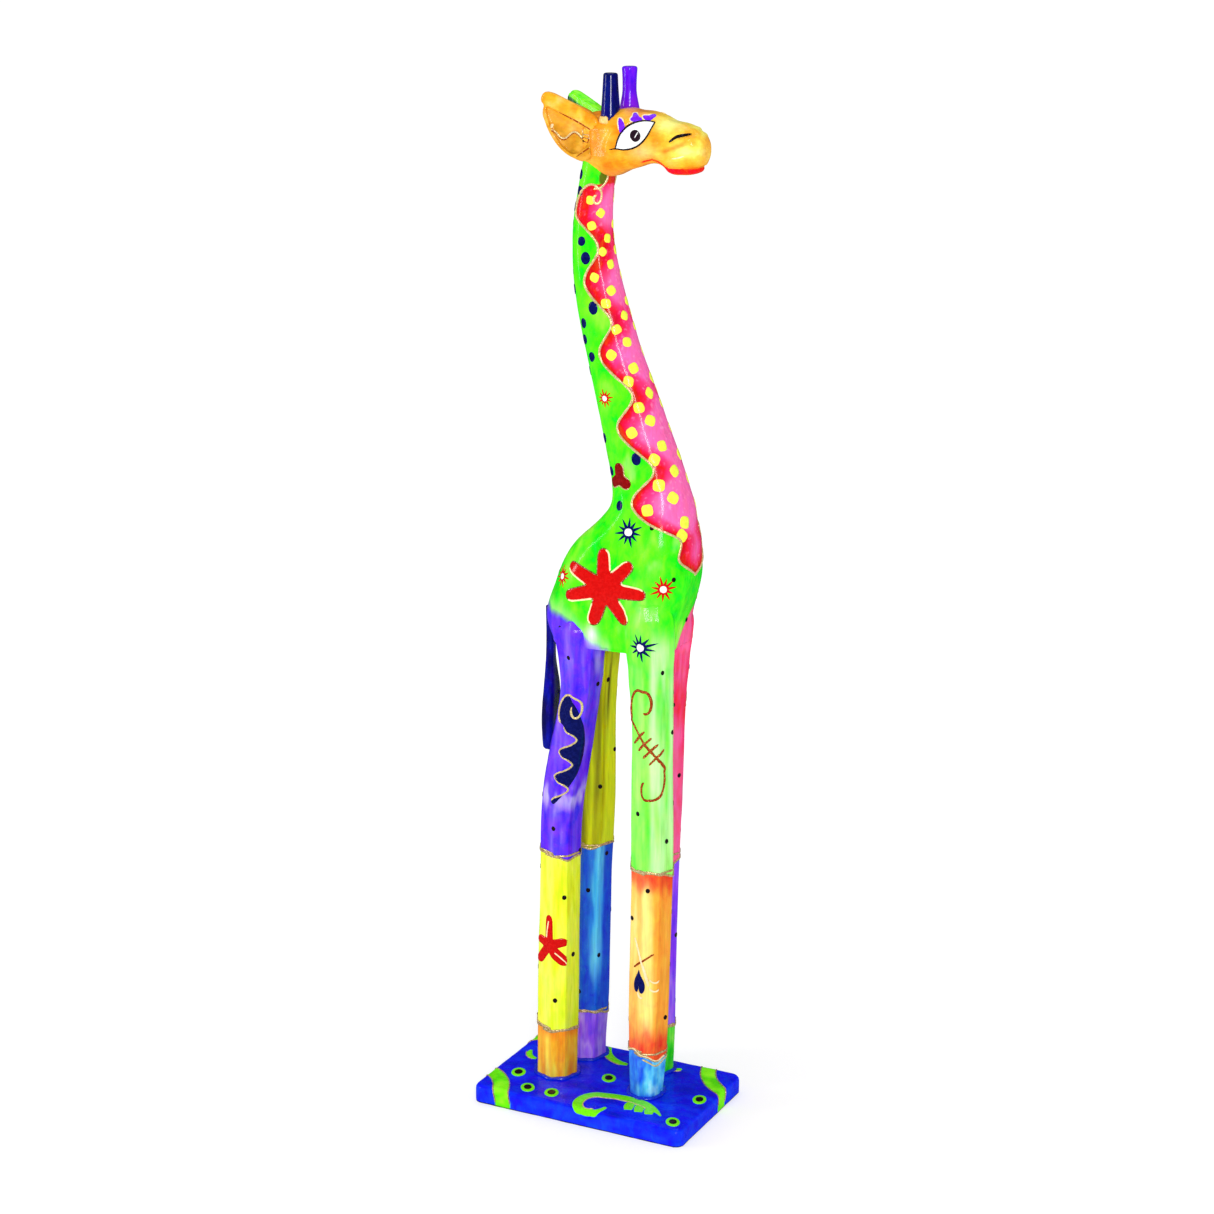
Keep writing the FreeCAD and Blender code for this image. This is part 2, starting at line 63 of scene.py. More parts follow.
def cell_noise(cells, seed):
    """Smooth value noise from -1 to 1 over unit cells."""
    base = np.floor(cells).astype(np.int64)
    part = cells - base
    part = part * part * (3 - 2 * part)
    total = np.zeros(len(cells))
    for corner in product((0, 1), repeat=3):
        cell = base + np.array(corner)
        mixed = cell[:, 0] * 73856093 ^ cell[:, 1] * 19349663 ^ cell[:, 2] * 83492791 ^ (seed + 7) * 49979687
        mixed = (mixed ^ (mixed >> 13)) * 1274126177 & 0x7FFFFFFF
        mixed = (mixed ^ (mixed >> 15)) * 668265263 & 0x7FFFFFFF
        weight = np.prod(np.where(corner, part, 1 - part), axis=1)
        total += weight * (mixed / 0x7FFFFFFF * 2 - 1)
    return total


def noise(points, size, seed, octaves=2):
    """Layered noise from about -1 to 1; size is the cell in mm, one number or one for each axis."""
    total, share, cells = 0.0, 1.0, np.asarray(points, float) / np.asarray(size, float)
    for octave in range(octaves):
        total = total + share * cell_noise(cells, seed + 31 * octave)
        share *= 0.5
        cells = cells * 2.03
    return total / (2 - 2.0 ** (1 - octaves))


def smooth_path(points, per_span=16, closed=False):
    """Points along a smooth curve through the given points."""
    points = [np.asarray(point, float) for point in points]
    if closed:
        padded = [points[-1], *points, points[0], points[1]]
    else:
        padded = [2 * points[0] - points[1], *points, 2 * points[-1] - points[-2]]
    path = []
    for a, b, c, d in zip(padded, padded[1:], padded[2:], padded[3:]):
        for t in np.arange(per_span) / per_span:
            path.append(
                0.5 * (2 * b + (c - a) * t + (2 * a - 5 * b + 4 * c - d) * t**2 + (3 * b - a - 3 * c + d) * t**3)
            )
    if not closed:
        path.append(points[-1])
    return np.array(path)


def arc(centre, radii, start, end, count=9):
    """Points of an arc of an ellipse; the angles are in degrees."""
    turns = np.radians(np.linspace(start, end, count))
    return [(centre[0] + radii[0] * np.cos(turn), centre[1] + radii[1] * np.sin(turn)) for turn in turns]


def bezier(first, second, third, fourth, count=12):
    """Points of a cubic curve from its four handles."""
    t = np.linspace(0, 1, count)[:, None]
    a, b, c, d = (np.array(handle, float) for handle in (first, second, third, fourth))
    curve = (1 - t) ** 3 * a + 3 * (1 - t) ** 2 * t * b + 3 * (1 - t) * t * t * c + t ** 3 * d
    return [tuple(place) for place in curve]


def spiral(centre, first, last, start, end, stretch=1.0, count=16):
    """Points of a curl whose radius goes from first to last; stretch widens it."""
    turns, radii = np.radians(np.linspace(start, end, count)), np.linspace(first, last, count)
    return [(centre[0] + stretch * r * np.cos(t), centre[1] + r * np.sin(t)) for t, r in zip(turns, radii)]


def beside(path, distance):
    """A path moved sideways."""
    path = np.asarray(path, float)
    ahead = np.gradient(path, axis=0)
    return path + np.column_stack([-ahead[:, 1], ahead[:, 0]]) / np.linalg.norm(ahead, axis=1)[:, None] * distance


def even_path(points, step, closed=False):
    """The same line with points an even step apart."""
    points = np.asarray(points, float)
    if closed:
        points = np.vstack([points, points[:1]])
    lengths = np.r_[0, np.cumsum(np.linalg.norm(np.diff(points, axis=0), axis=1))]
    count = max(3, int(round(lengths[-1] / step)) + 1)
    wanted = np.linspace(0, lengths[-1], count)
    even = np.column_stack([np.interp(wanted, lengths, column) for column in points.T])
    return even[:-1] if closed else even


# ---------------------------------------------------------------- colours

def colour(code):
    """Display colour from six hexadecimal digits."""
    return np.array([int(code[i:i + 2], 16) for i in (0, 2, 4)]) / 255


def linear(display):
    """Linear light from a display colour."""
    display = np.clip(display, 0, 1)
    return np.where(display <= 0.04045, display / 12.92, ((display + 0.055) / 1.055) ** 2.4)


def mix(first, second, share):
    """Blend two colours, or arrays of colours, by a share at each point."""
    share = np.asarray(share)[..., None]
    return first * (1 - share) + second * share


def wash(points, codes, size, seed):
    """Watery brushwork that wanders through a list of colours."""
    field = noise(points, size, seed, 3) * 0.5 + 0.5
    field = np.clip((field - 0.22) / 0.56, 0, 1) * (len(codes) - 1)
    colours = np.array([colour(code) for code in codes])
    low = np.clip(field.astype(int), 0, len(codes) - 2)
    return mix(colours[low], colours[low + 1], field - low)


# ---------------------------------------------------------------- carved pieces

class Carving:
    """A finely divided copy of a CAD node that can be worked on: points and normals in mm."""

    def __init__(self, node, voxel):
        self.node = node
        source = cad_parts[node]
        blank = bpy.data.objects.new(f"{node}_blank", source.data.copy())
        bpy.context.scene.collection.objects.link(blank)
        remesh = blank.modifiers.new("fine", "REMESH")
        remesh.mode = "VOXEL"
        remesh.voxel_size = voxel * MM
        bpy.context.view_layer.update()
        graph = bpy.context.evaluated_depsgraph_get()
        self.mesh = bpy.data.meshes.new_from_object(blank.evaluated_get(graph))
        bpy.data.objects.remove(blank)
        self.mesh.name = f"{node}_carved"
        self.mesh.materials.clear()
        self.points = self.read("vertices", "co", 3) / MM
        self.edges = self.read("edges", "vertices", 2, np.int64)
        self.refresh()

    def read(self, kind, field, width, dtype=np.float64):
        """Read one field of every vertex or edge."""
        items = getattr(self.mesh, kind)
        values = np.zeros(len(items) * width, np.float32 if dtype == np.float64 else np.int32)
        items.foreach_get(field, values)
        return values.reshape(-1, width).astype(dtype)

    def refresh(self):
        """Write the points to the mesh and read its normals back."""
        self.mesh.vertices.foreach_set("co", (self.points * MM).astype(np.float32).ravel())
        self.mesh.update()
        self.normals = self.read("vertices", "normal", 3)

    def neighbour_mean(self, values):
        """Mean of each point's neighbours."""
        a, b = self.edges.T
        count = len(self.points)
        share = np.bincount(a, minlength=count) + np.bincount(b, minlength=count)
        columns = [
            np.bincount(a, column[b], count) + np.bincount(b, column[a], count) for column in values.T
        ]
        return np.column_stack(columns) / np.maximum(share, 1)[:, None]

    def smooth(self, rounds, keep_size=True):
        """Take the steps and facets out; keep_size stops the piece from shrinking."""
        for _ in range(rounds):
            for amount in (0.5, -0.52) if keep_size else (0.5,):
                self.points += amount * (self.neighbour_mean(self.points) - self.points)
        self.refresh()

    def push(self, distance):
        """Move each point along its normal by a distance in mm."""
        self.points += self.normals * np.asarray(distance)[:, None]
        self.refresh()

    def settle(self):
        """Measure the middle line and make the tree that rays are cast at."""
        self.tree = BVHTree.FromPolygons(
            [Vector(point) for point in self.points], [face.vertices for face in self.mesh.polygons]
        )
        heights = self.points[:, 2]
        steps = np.arange(heights.min() + 2, heights.max() - 1, 4.0)
        middles = []
        for height in steps:
            near = self.points[np.abs(heights - height) < 3]
            middles.append((near.min(0) + near.max(0))[:2] / 2)
        self.steps, self.middles = steps, np.array(middles)

    def middle(self, height):
        """x and y of the middle line at a height."""
        return [np.interp(height, self.steps, column) for column in self.middles.T]

    def bearings(self):
        """Bearing of every point about the middle line, in degrees from -180 to 180."""
        x, y = self.middle(self.points[:, 2])
        return np.degrees(np.arctan2(self.points[:, 0] - x, y - self.points[:, 1]))

    def plane_off(self, turns, outer=0.8):
        """Whittle the sides flat, one facet square to each bearing, without leaving the section's box."""
        self.settle()
        heights = self.points[:, 2]
        middle = np.column_stack(self.middle(heights))
        off = self.points[:, :2] - middle
        reach = np.maximum(np.linalg.norm(off, axis=1), 1e-6)
        normals = np.array([(np.sin(turn), -np.cos(turn)) for turn in np.radians(turns)])
        depths = []
        for height, centre in zip(self.steps, self.middles):
            near = self.points[np.abs(heights - height) < 3][:, :2] - centre
            depths.append((near @ normals.T).max(0))
        depths = np.array(depths)
        limits = []
        for index, normal in enumerate(normals):
            facing = np.maximum(off @ normal / reach, 1e-3)
            limits.append(np.interp(heights, self.steps, depths[:, index]) / facing)
        limits = np.array(limits)
        self.facet = limits.argmin(0)
        wall = (reach > outer * limits.min(0)) & (np.abs(self.normals[:, 2]) < 0.6)
        wanted = middle + off * (limits.min(0) / reach)[:, None]
        self.points[wall, :2] = wanted[wall]
        self.refresh()

    def cast(self, start, direction, reach=400):
        """Where a ray meets the piece, or the nearest point of it."""
        place, normal, _, _ = self.tree.ray_cast(Vector(start), Vector(direction), reach)
        if place is None:
            place, normal, _, _ = self.tree.find_nearest(Vector(start) + Vector(direction) * (reach / 2))
        return np.array(place), np.array(normal)

    def nearest(self, point):
        """The nearest point of the surface, and its normal."""
        place, normal, _, _ = self.tree.find_nearest(Vector(point))
        return np.array(place), np.array(normal)

    def show(self, material, slot, colours):
        """Put the finished mesh in the scene in place of its CAD node."""
        self.mesh.polygons.foreach_set("use_smooth", np.ones(len(self.mesh.polygons), bool))
        values = np.ones((len(self.points), 4), np.float32)
        values[:, :3] = linear(colours)
        layer = self.mesh.color_attributes.new("paint", "FLOAT_COLOR", "POINT")
        layer.data.foreach_set("color", values.ravel())
        piece = add_piece(self.mesh.name, self.mesh, material)
        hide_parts(self.node)
        return piece


def add_piece(name, mesh, material):
    """Put a mesh in the scene as a piece of the giraffe."""
    piece = bpy.data.objects.new(name, mesh)
    bpy.context.scene.collection.objects.link(piece)
    mesh.materials.append(material)
    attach(piece, "root")
    return piece


# Places on a piece. Each gives the point and the outward normal there.

def on_upright(carving, bearing, height):
    """Place on an upright piece."""
    turn = np.radians(bearing)
    outward = np.array([np.sin(turn), -np.cos(turn), 0])
    start = np.array([*carving.middle(height), height]) + outward * 200
    return carving.cast(start, -outward)


def on_side(side):
    """Chart of one side of the head: distance forward and height."""
    outward = np.array([0, SIDES[side], 0.0])
    return lambda carving, x, z: carving.cast(np.array([x, MIDDLE_Y, z]) + outward * 100, -outward)


def on_board(carving, u, v):
    """Place on the board laid out flat: past its top edges the chart goes down its sides."""
    x, y = np.clip(u, -CHART_FOLD[0], CHART_FOLD[0]), np.clip(v, -CHART_FOLD[1], CHART_FOLD[1])
    over = np.array([u - x, v - y, 0.0])
    drop = np.abs(over).sum()
    if drop < 0.8:
        return carving.cast(np.array([x, y, 60.0]), np.array([0, 0, -1.0]))
    outward = over / np.linalg.norm(over)
    return carving.cast(np.array([x, y, BOARD_TOP - drop]) + outward * 60, -outward)


def flat_about(place):
    """Chart of the flat plane that touches a piece at a place."""
    centre, normal = place
    level, rise = plane_axes(normal)
    return lambda carving, across, up: carving.cast(
        centre + level * across + rise * up + normal * 25, -normal, 70
    )


def plane_axes(normal):
    """Level and rising directions in the surface."""
    level = np.cross([0, 0, 1], normal)
    if np.linalg.norm(level) < 0.3:
        level = np.array([1.0, 0, 0]) - normal * normal[0]
    level /= np.linalg.norm(level)
    return level, np.cross(normal, level)


# ---------------------------------------------------------------- raised paint

class Paint:
    """Raised paint of one colour: spots, strokes and beads gathered in one mesh."""

    def __init__(self):
        self.points, self.faces, self.tints = [], [], []

    def add(self, points, faces, tint=0.5):
        first = len(self.points)
        self.points.extend(points)
        self.faces.extend(tuple(first + index for index in face) for face in faces)
        self.tints.extend([tint] * len(points))

    def finish(self, name, material, slot):
        """Put the gathered paint in the scene."""
        mesh = bpy.data.meshes.new(name)
        mesh.from_pydata([tuple(point * MM) for point in self.points], [], self.faces)
        mesh.polygons.foreach_set("use_smooth", np.ones(len(mesh.polygons), bool))
        layer = mesh.attributes.new("tint", "FLOAT", "POINT")
        layer.data.foreach_set("value", np.array(self.tints, np.float32))
        mesh.validate()
        mesh.update()
        return add_piece(name, mesh, material)

    def spot(self, carving, place, radii, lift=0.35, spin=0.0, ring_step=1.6, tint=0.5):
        """Raised spot; radii gives the outline's radius at even angles, from the level direction."""
        centre, normal = place
        level, rise = plane_axes(normal)
        radii = np.asarray(radii, float)
        count = len(radii)
        angles = np.radians(spin) + np.arange(count) * 2 * np.pi / count
        inner = max(2, int(np.ceil(radii.max() / ring_step)))
        shares = [*(np.arange(1, inner) / inner * 0.94), 0.965, 1.0]
        lifts = [1.0] * (inner - 1) + [0.8, -0.5]
        flat = [(0.0, 0.0, lift)]
        for share, height in zip(shares, lifts):
            for angle, radius in zip(angles, radii * share):
                flat.append((radius * np.cos(angle), radius * np.sin(angle), lift * height))
        top, bottom = [], []
        for across, up, height in flat:
            start = centre + level * across + rise * up + normal * 25
            point, out = carving.cast(start, -normal, 70)
            top.append(point + out * height)
            bottom.append(point - out * 0.5)
        rings = len(shares)
        faces = [(0, 1 + j, 1 + (j + 1) % count) for j in range(count)]
        for ring in range(rings - 1):
            for j in range(count):
                a, b = 1 + ring * count + j, 1 + ring * count + (j + 1) % count
                faces.append((a, a + count, b + count, b))
        size = len(top)
        under = [tuple(size + index for index in reversed(face)) for face in faces]
        rim = 1 + (rings - 1) * count
        sides = [
            (rim + j, size + rim + j, size + rim + (j + 1) % count, rim + (j + 1) % count) for j in range(count)
        ]
        self.add(top + bottom, faces + under + sides, tint)

    def patch(self, carving, outline, chart=on_upright, reach=1.0, lift=0.4, tint=0.5, grid=1.7):
        """Raised patch inside a closed outline of a chart; reach is the mm of one unit of its first number."""
        edge = even_path(np.asarray(outline, float) * (reach, 1), 0.9, closed=True)
        ahead = np.roll(edge, -1, 0) - np.roll(edge, 1, 0)
        area = np.sum(edge[:, 0] * np.roll(edge[:, 1], -1) - edge[:, 1] * np.roll(edge[:, 0], -1))
        inward = np.column_stack([-ahead[:, 1], ahead[:, 0]]) / np.linalg.norm(ahead, axis=1)[:, None] * np.sign(area)
        low, high = edge.min(0), edge.max(0)
        across, up = np.meshgrid(np.arange(low[0], high[0], grid), np.arange(low[1], high[1], grid))
        inner = np.vstack([(edge + inward * 0.55)[::1], np.column_stack([across.ravel(), up.ravel()])])
        gaps = np.array([np.hypot(*(edge - point).T).min() for point in inner])
        ring = np.arange(len(inner)) < len(edge)
        inner = inner[gaps > np.where(ring, 0.45, 1.2)]
        count = len(edge)
        flat = [Vector(point) for point in np.vstack([edge, inner])]
        loop = [(i, (i + 1) % count) for i in range(count)]
        made, _, faces, origins, _, _ = delaunay_2d_cdt(flat, loop, [], 1, 1e-5)
        top, bottom = [], []
        for point, origin in zip(made, origins):
            place, out = chart(carving, point.x / reach, point.y)
            on_edge = any(index < count for index in origin)
            top.append(place + out * (-0.1 if on_edge else lift))
            bottom.append(place - out * 0.6)
        size = len(top)
        used = {}
        for face in faces:
            for a, b in zip(face, face[1:] + face[:1]):
                used[(a, b)] = face
        sides = [(b, a, size + a, size + b) for a, b in used if (b, a) not in used]
        under = [tuple(size + index for index in reversed(face)) for face in faces]
        self.add(top + bottom, [tuple(face) for face in faces] + under + sides, tint)

    def stroke(self, carving, points, widths, lift=0.35, tint=0.5):
        """Raised brush stroke of varying half width along points on the piece."""
        points = np.asarray(points, float)
        widths = np.asarray(widths, float)
        across = np.linspace(-1, 1, max(5, int(widths.max() / 0.8) * 2 + 3))
        heights = lift * (1 - 1.5 * np.abs(across) ** 8)
        rows = len(points)
        top, bottom = [], []
        for index, (point, width) in enumerate(zip(points, widths)):
            ahead = points[min(index + 1, rows - 1)] - points[max(index - 1, 0)]
            _, normal = carving.nearest(point)
            side = np.cross(normal, ahead)
            side /= max(np.linalg.norm(side), 1e-9)
            for share, height in zip(across, heights):
                place, out = carving.nearest(point + side * width * share)
                top.append(place + out * height)
                bottom.append(place - out * 0.5)
        wide = len(across)
        faces = [
            (r * wide + c, r * wide + c + 1, (r + 1) * wide + c + 1, (r + 1) * wide + c)
            for r in range(rows - 1) for c in range(wide - 1)
        ]
        size = len(top)
        under = [tuple(size + index for index in reversed(face)) for face in faces]
        edge = (
            list(range(wide)) + [r * wide + wide - 1 for r in range(1, rows)]
            + [(rows - 1) * wide + c for c in range(wide - 2, -1, -1)] + [r * wide for r in range(rows - 2, 0, -1)]
        )
        sides = [(a, size + a, size + b, b) for a, b in zip(edge, edge[1:] + edge[:1])]
        self.add(top + bottom, faces + under + sides, tint)

    def bead(self, carving, points, width=1.9, height=0.9, seed=0, closed=False, tint=0.5, taper=True):
        """Lumpy bead of thick paint along points on the piece."""
        points = even_path(points, 0.9, closed)
        rows, round_count = len(points), 8
        swell = 1 + 0.28 * noise(points, 5, seed) + 0.16 * noise(points, 1.7, seed + 5)
        if taper and not closed:
            from_end = np.minimum(np.arange(rows), np.arange(rows)[::-1])
            swell *= np.clip(0.35 + from_end / 3, 0, 1)
        angles = np.arange(round_count) * 2 * np.pi / round_count
        ring_points = []
        for index, (point, size) in enumerate(zip(points, swell)):
            before = points[index - 1] if closed or index else points[0]
            after = points[(index + 1) % rows] if closed or index < rows - 1 else points[-1]
            place, normal = carving.nearest(point)
            side = np.cross(normal, after - before)
            side /= max(np.linalg.norm(side), 1e-9)
            for angle in angles:
                ring_points.append(
                    place + side * np.cos(angle) * width / 2 * size
                    + normal * (np.sin(angle) * height * size * 0.62 + 0.3 * height * size)
                )
        faces = []
        for r in range(rows if closed else rows - 1):
            for c in range(round_count):
                a, b = r * round_count + c, r * round_count + (c + 1) % round_count
                shift = ((r + 1) % rows - r) * round_count
                faces.append((a, b, b + shift, a + shift))
        if not closed:
            faces.append(tuple(range(round_count - 1, -1, -1)))
            faces.append(tuple((rows - 1) * round_count + c for c in range(round_count)))
        self.add(ring_points, faces, tint)


def line_on(carving, places, per_span=16, closed=False, chart=on_upright, step=0.9):
    """Points on a piece along a smooth line through places of its chart."""
    path = smooth_path(places, per_span, closed)
    points = even_path([chart(carving, *place)[0] for place in path], step, closed)
    for _ in range(2):
        inner = (np.roll(points, 1, 0) + np.roll(points, -1, 0)) / 2
        if not closed:
            inner[0], inner[-1] = points[0], points[-1]
        points = (points + inner) / 2
    return points


def uneven(radius, count, seed, amount=0.12):
    """Radii of a hand-painted dot."""
    angles = np.arange(count) * 2 * np.pi / count
    ring = np.column_stack([np.cos(angles), np.sin(angles), np.full(count, seed * 1.7)])
    return radius * (1 + amount * noise(ring, 0.9, seed, 1))


def oval(half_long, half_short, count, seed, tilt=90.0):
    """Radii of a hand-painted oval; tilt is its long direction."""
    angles = np.arange(count) * 2 * np.pi / count - np.radians(tilt)
    radii = half_long * half_short / np.hypot(half_short * np.cos(angles), half_long * np.sin(angles))
    return radii * uneven(1.0, count, seed, 0.07)


def finger_star(arms, half=7.4, pinch=0.06, step=2.5):
    """Outline of a star with round-ended fingers, each given by its angle and length."""
    turns = np.radians(np.arange(0, 360, step))
    reach = np.zeros(len(turns))
    for angle, length in arms:
        off = np.abs((turns - np.radians(angle) + np.pi) % (2 * np.pi) - np.pi)
        side = half / (np.sin(np.minimum(off, np.pi / 2)) + pinch)
        tip = max(half - pinch * length, 0.25 * half)
        core = length - tip
        across = core * np.sin(off)
        cap = core * np.cos(off) + np.sqrt(np.clip(tip**2 - across**2, 0, None))
        cap = np.where((np.abs(across) < tip) & (off < 1.2), cap, 0)
        reach = np.maximum(reach, np.where(side < core, side, np.where(cap > 0, np.minimum(cap, length), core)))
    return np.column_stack([reach * np.cos(turns), reach * np.sin(turns)])


def taper(count, widest, start=0.3, end=0.3):
    """Half widths of a brush stroke that swells in the middle."""
    share = np.linspace(0, 1, count)
    swell = np.sin(np.pi * np.clip(share, 0, 1)) ** 0.6
    return widest * (start * (1 - share) + end * share + (1 - start * (1 - share) - end * share) * swell)


def rounded_star(arm_lengths, inner, count, sharpness):
    """Radii of a star with rounded arms of given lengths."""
    angles = np.arange(count) / count * len(arm_lengths)
    arm = np.rint(angles).astype(int) % len(arm_lengths)
    off = np.abs(angles - np.rint(angles)) * 2
    reach = np.asarray(arm_lengths, float)[arm]
    return inner + (reach - inner) * np.clip(1 - off**1.15, 0, 1) ** sharpness


# ---------------------------------------------------------------- materials

class Shader:
    """A node material in the making."""

    def __init__(self, name):
        self.material = bpy.data.materials.new(name)
        self.material.use_nodes = True
        self.tree = self.material.node_tree
        self.surface = next(node for node in self.tree.nodes if node.type == "BSDF_PRINCIPLED")
        self.place = self.node("ShaderNodeTexCoord").outputs["Object"]

    def node(self, kind, **settings):
        """Add a node; settings are its properties."""
        made = self.tree.nodes.new(kind)
        for name, value in settings.items():
            setattr(made, name, value)
        return made

    def feed(self, target, value):
        """Link an output to an input, or set the input."""
        if isinstance(value, bpy.types.NodeSocket):
            self.tree.links.new(value, target)
        else:
            target.default_value = value

    def noise(self, size, stretch=(1, 1, 1), detail=4.0, distortion=0.0):
        """Noise of a cell size in mm, stretched along the axes."""
        mapping = self.node("ShaderNodeMapping")
        self.feed(mapping.inputs["Vector"], self.place)
        mapping.inputs["Scale"].default_value = [1 / (share * size * MM) for share in stretch]
        made = self.node("ShaderNodeTexNoise")
        made.inputs["Scale"].default_value = 1.0
        made.inputs["Detail"].default_value = detail
        made.inputs["Distortion"].default_value = distortion
        self.feed(made.inputs["Vector"], mapping.outputs["Vector"])
        return made.outputs["Fac"]

    def spread(self, value, low, high, start=0.3, end=0.7):
        """Map a noise onto a range."""
        made = self.node("ShaderNodeMapRange")
        self.feed(made.inputs["Value"], value)
        for name, number in (("From Min", start), ("From Max", end), ("To Min", low), ("To Max", high)):
            made.inputs[name].default_value = number
        return made.outputs["Result"]

    def blend(self, share, first, second):
        """Blend two colours."""
        made = self.node("ShaderNodeMix", data_type="RGBA", blend_type="MIX")
        self.feed(made.inputs[0], share)
        self.feed(made.inputs[6], first)
        self.feed(made.inputs[7], second)
        return made.outputs[2]

    def adjust(self, base, hue, value):
        """Shift a colour's hue and value."""
        made = self.node("ShaderNodeHueSaturation")
        self.feed(made.inputs["Color"], base)
        self.feed(made.inputs["Hue"], hue)
        self.feed(made.inputs["Value"], value)
        return made.outputs["Color"]

    def bumps(self, *layers):
        """Lay bump maps over each other: (height, distance in mm, strength)."""
        normal = None
        for height, distance, strength in layers:
            made = self.node("ShaderNodeBump")
            made.inputs["Distance"].default_value = distance * MM
            made.inputs["Strength"].default_value = strength
            self.feed(made.inputs["Height"], height)
            if normal is not None:
                self.feed(made.inputs["Normal"], normal)
            normal = made.outputs["Normal"]
        self.feed(self.surface.inputs["Normal"], normal)

    def varnish(self, coat, coat_roughness=0.1, specular=0.08):
        """Even gloss of the varnish."""
        self.surface.inputs["Coat Weight"].default_value = coat
        self.surface.inputs["Coat Roughness"].default_value = coat_roughness
        self.surface.inputs["Specular IOR Level"].default_value = specular


def brushed_paint(name, coat=0.22, rough=(0.26, 0.42), along=(1, 1, 7), strength=1.0):
    """Thin brushed paint under varnish on carved wood, coloured by the piece's own paint layer."""
    shader = Shader(name)
    layer = shader.node("ShaderNodeAttribute", attribute_name="paint").outputs["Color"]
    streaks = shader.noise(2.2, along, 5.0, 0.6)
    blotches = shader.noise(9.0, (1, 1, 1.6), 6.0, 0.8)
    specks = shader.noise(0.9, (1, 1, 1.4), 3.0)
    tone = shader.spread(streaks, 1 - 0.13 * strength, 1 + 0.10 * strength)
    shifted = shader.adjust(layer, shader.spread(blotches, 0.5 - 0.010 * strength, 0.5 + 0.012 * strength), tone)
    pale = shader.blend(shader.spread(specks, 0.0, 0.07 * strength, 0.62, 0.80), shifted, (1, 1, 0.92, 1))
    shader.feed(shader.surface.inputs["Base Color"], pale)
    shader.feed(shader.surface.inputs["Roughness"], shader.spread(blotches, rough[0], rough[1]))
    shader.bumps((blotches, 0.9, 0.30), (streaks, 0.35, 0.35), (specks, 0.12, 0.25))
    shader.varnish(coat)
    return shader.material


def thick_paint(name, low, high, rough=(0.2, 0.34), coat=0.25, metallic=0.0, speck=None, size=3.0):
    """Thick paint of one colour, with the slight unevenness of a loaded brush."""
    shader = Shader(name)
    field = shader.noise(size, (1, 1, 1), 5.0, 0.5)
    tint = shader.node("ShaderNodeAttribute", attribute_name="tint").outputs["Fac"]
    share = shader.node("ShaderNodeMath", operation="ADD", use_clamp=True)
    shader.feed(share.inputs[0], shader.spread(field, -0.25, 0.25))
    shader.feed(share.inputs[1], tint)
    base = shader.blend(share.outputs[0], (*linear(colour(low)), 1), (*linear(colour(high)), 1))
    if speck:
        fine = shader.noise(1.3, (1, 1, 1), 3.0)
        base = shader.blend(shader.spread(fine, 0, 0.9, 0.58, 0.68), base, (*linear(colour(speck)), 1))
    shader.feed(shader.surface.inputs["Base Color"], base)
    shader.feed(shader.surface.inputs["Roughness"], shader.spread(field, rough[0], rough[1]))
    shader.surface.inputs["Metallic"].default_value = metallic
    shader.bumps((field, 0.4, 0.25), (shader.noise(1.6, (1, 1, 1), 2.0), 0.06, 0.2))
    shader.varnish(coat)
    return shader.material


# ---------------------------------------------------------------- where the colours go

# The neck's wavy gold line: the height of one forward turn on each side, and the rise from turn to turn.
WAVE_TOP = {"right": 837, "left": 843}
WAVE_RISE = 66


def neck_edge(height, side):
    """Bearing of the neck's wavy gold line at a height, as on the right side."""
    wave = 12 + 27 * np.cos(2 * np.pi * (height - WAVE_TOP[side]) / WAVE_RISE)
    return wave - 26 * bump_at(height, 868, 14) + 30 * ramp(606 - height, 0, 40)


def neck_line(side):
    """The line down one side of the neck: an arc under the head, a steady wave and a sweep in at the breast."""
    places = [(58, 910), (58, 898)] + arc((10, 868), (52, 26), 60, 165, 7)
    places += [(float(neck_edge(np.array(height), side)), height) for height in range(866, 568, -6)]
    places += [(66, 556), (80, 544), (92, 537)]
    return [(b if side == "right" else 180 - b, height) for b, height in places]


RIGHT_LINE = neck_line("right")
LEFT_LINE = neck_line("left")
# The curl inside the top of each line.
RIGHT_CURL = spiral((31, 882), 2.2, 9.5, 90, 490, 2.1)
LEFT_CURL = [(180 - b, height) for b, height in RIGHT_CURL]

# Heights of the gold rings round each leg, and how much each one leans towards the front.
RINGS = {
    "front_right": {"upper": (253, 3.5, 4), "lower": (64, 4, 5)},
    "front_left": {"upper": (246, 3.5, 5), "lower": (69, 3, 4)},
    "rear_right": {"upper": (253, 3.5, 3), "lower": (72, 4, 4)},
    "rear_left": {"upper": (249, 3.5, 5), "lower": (72, 4, 3)},
}


def ring_height(leg, ring, bearing):
    """Height of a gold ring at a bearing."""
    height, lean, wave = RINGS[leg][ring]
    phase = LEGS.index(leg) * 1.3 + (ring == "lower") * 2.1
    turn = np.radians(bearing)
    return height - lean * np.sin(turn) + wave * 0.5 * np.sin(3 * turn + phase) + 0.8 * np.sin(7 * turn + 2 * phase)


def around_back(bearing):
    """The same bearing counted from -90 up to 270."""
    return np.where(bearing < -90, bearing + 360, bearing)


def body_green(p):
    """The wandering greens of the body."""
    grain = noise(p, (9, 9, 22), 3, 3)
    coarse = noise(p, (26, 26, 40), 11, 2)
    green = wash(p, ("16dc00", "38f004", "5cfa10", "90f63a"), (16, 16, 30), 21)
    pale = ramp(coarse + 0.6 * grain, 0.3, 0.8) * 0.5
    # Pale streak down the front right corner of the chest: partly specks of pale paint, partly painted highlight.
    pale += bump_at(p[:, 0], 48, 17) * bump_at(p[:, 2], 505, 40) * ramp(30 - p[:, 1], 0, 20) * (0.4 + 0.5 * grain)
    green = mix(green, colour("c4ff9c"), np.clip(pale, 0, 0.75))
    return mix(green, colour("86dc14"), ramp(-coarse, 0.2, 0.8) * 0.4)


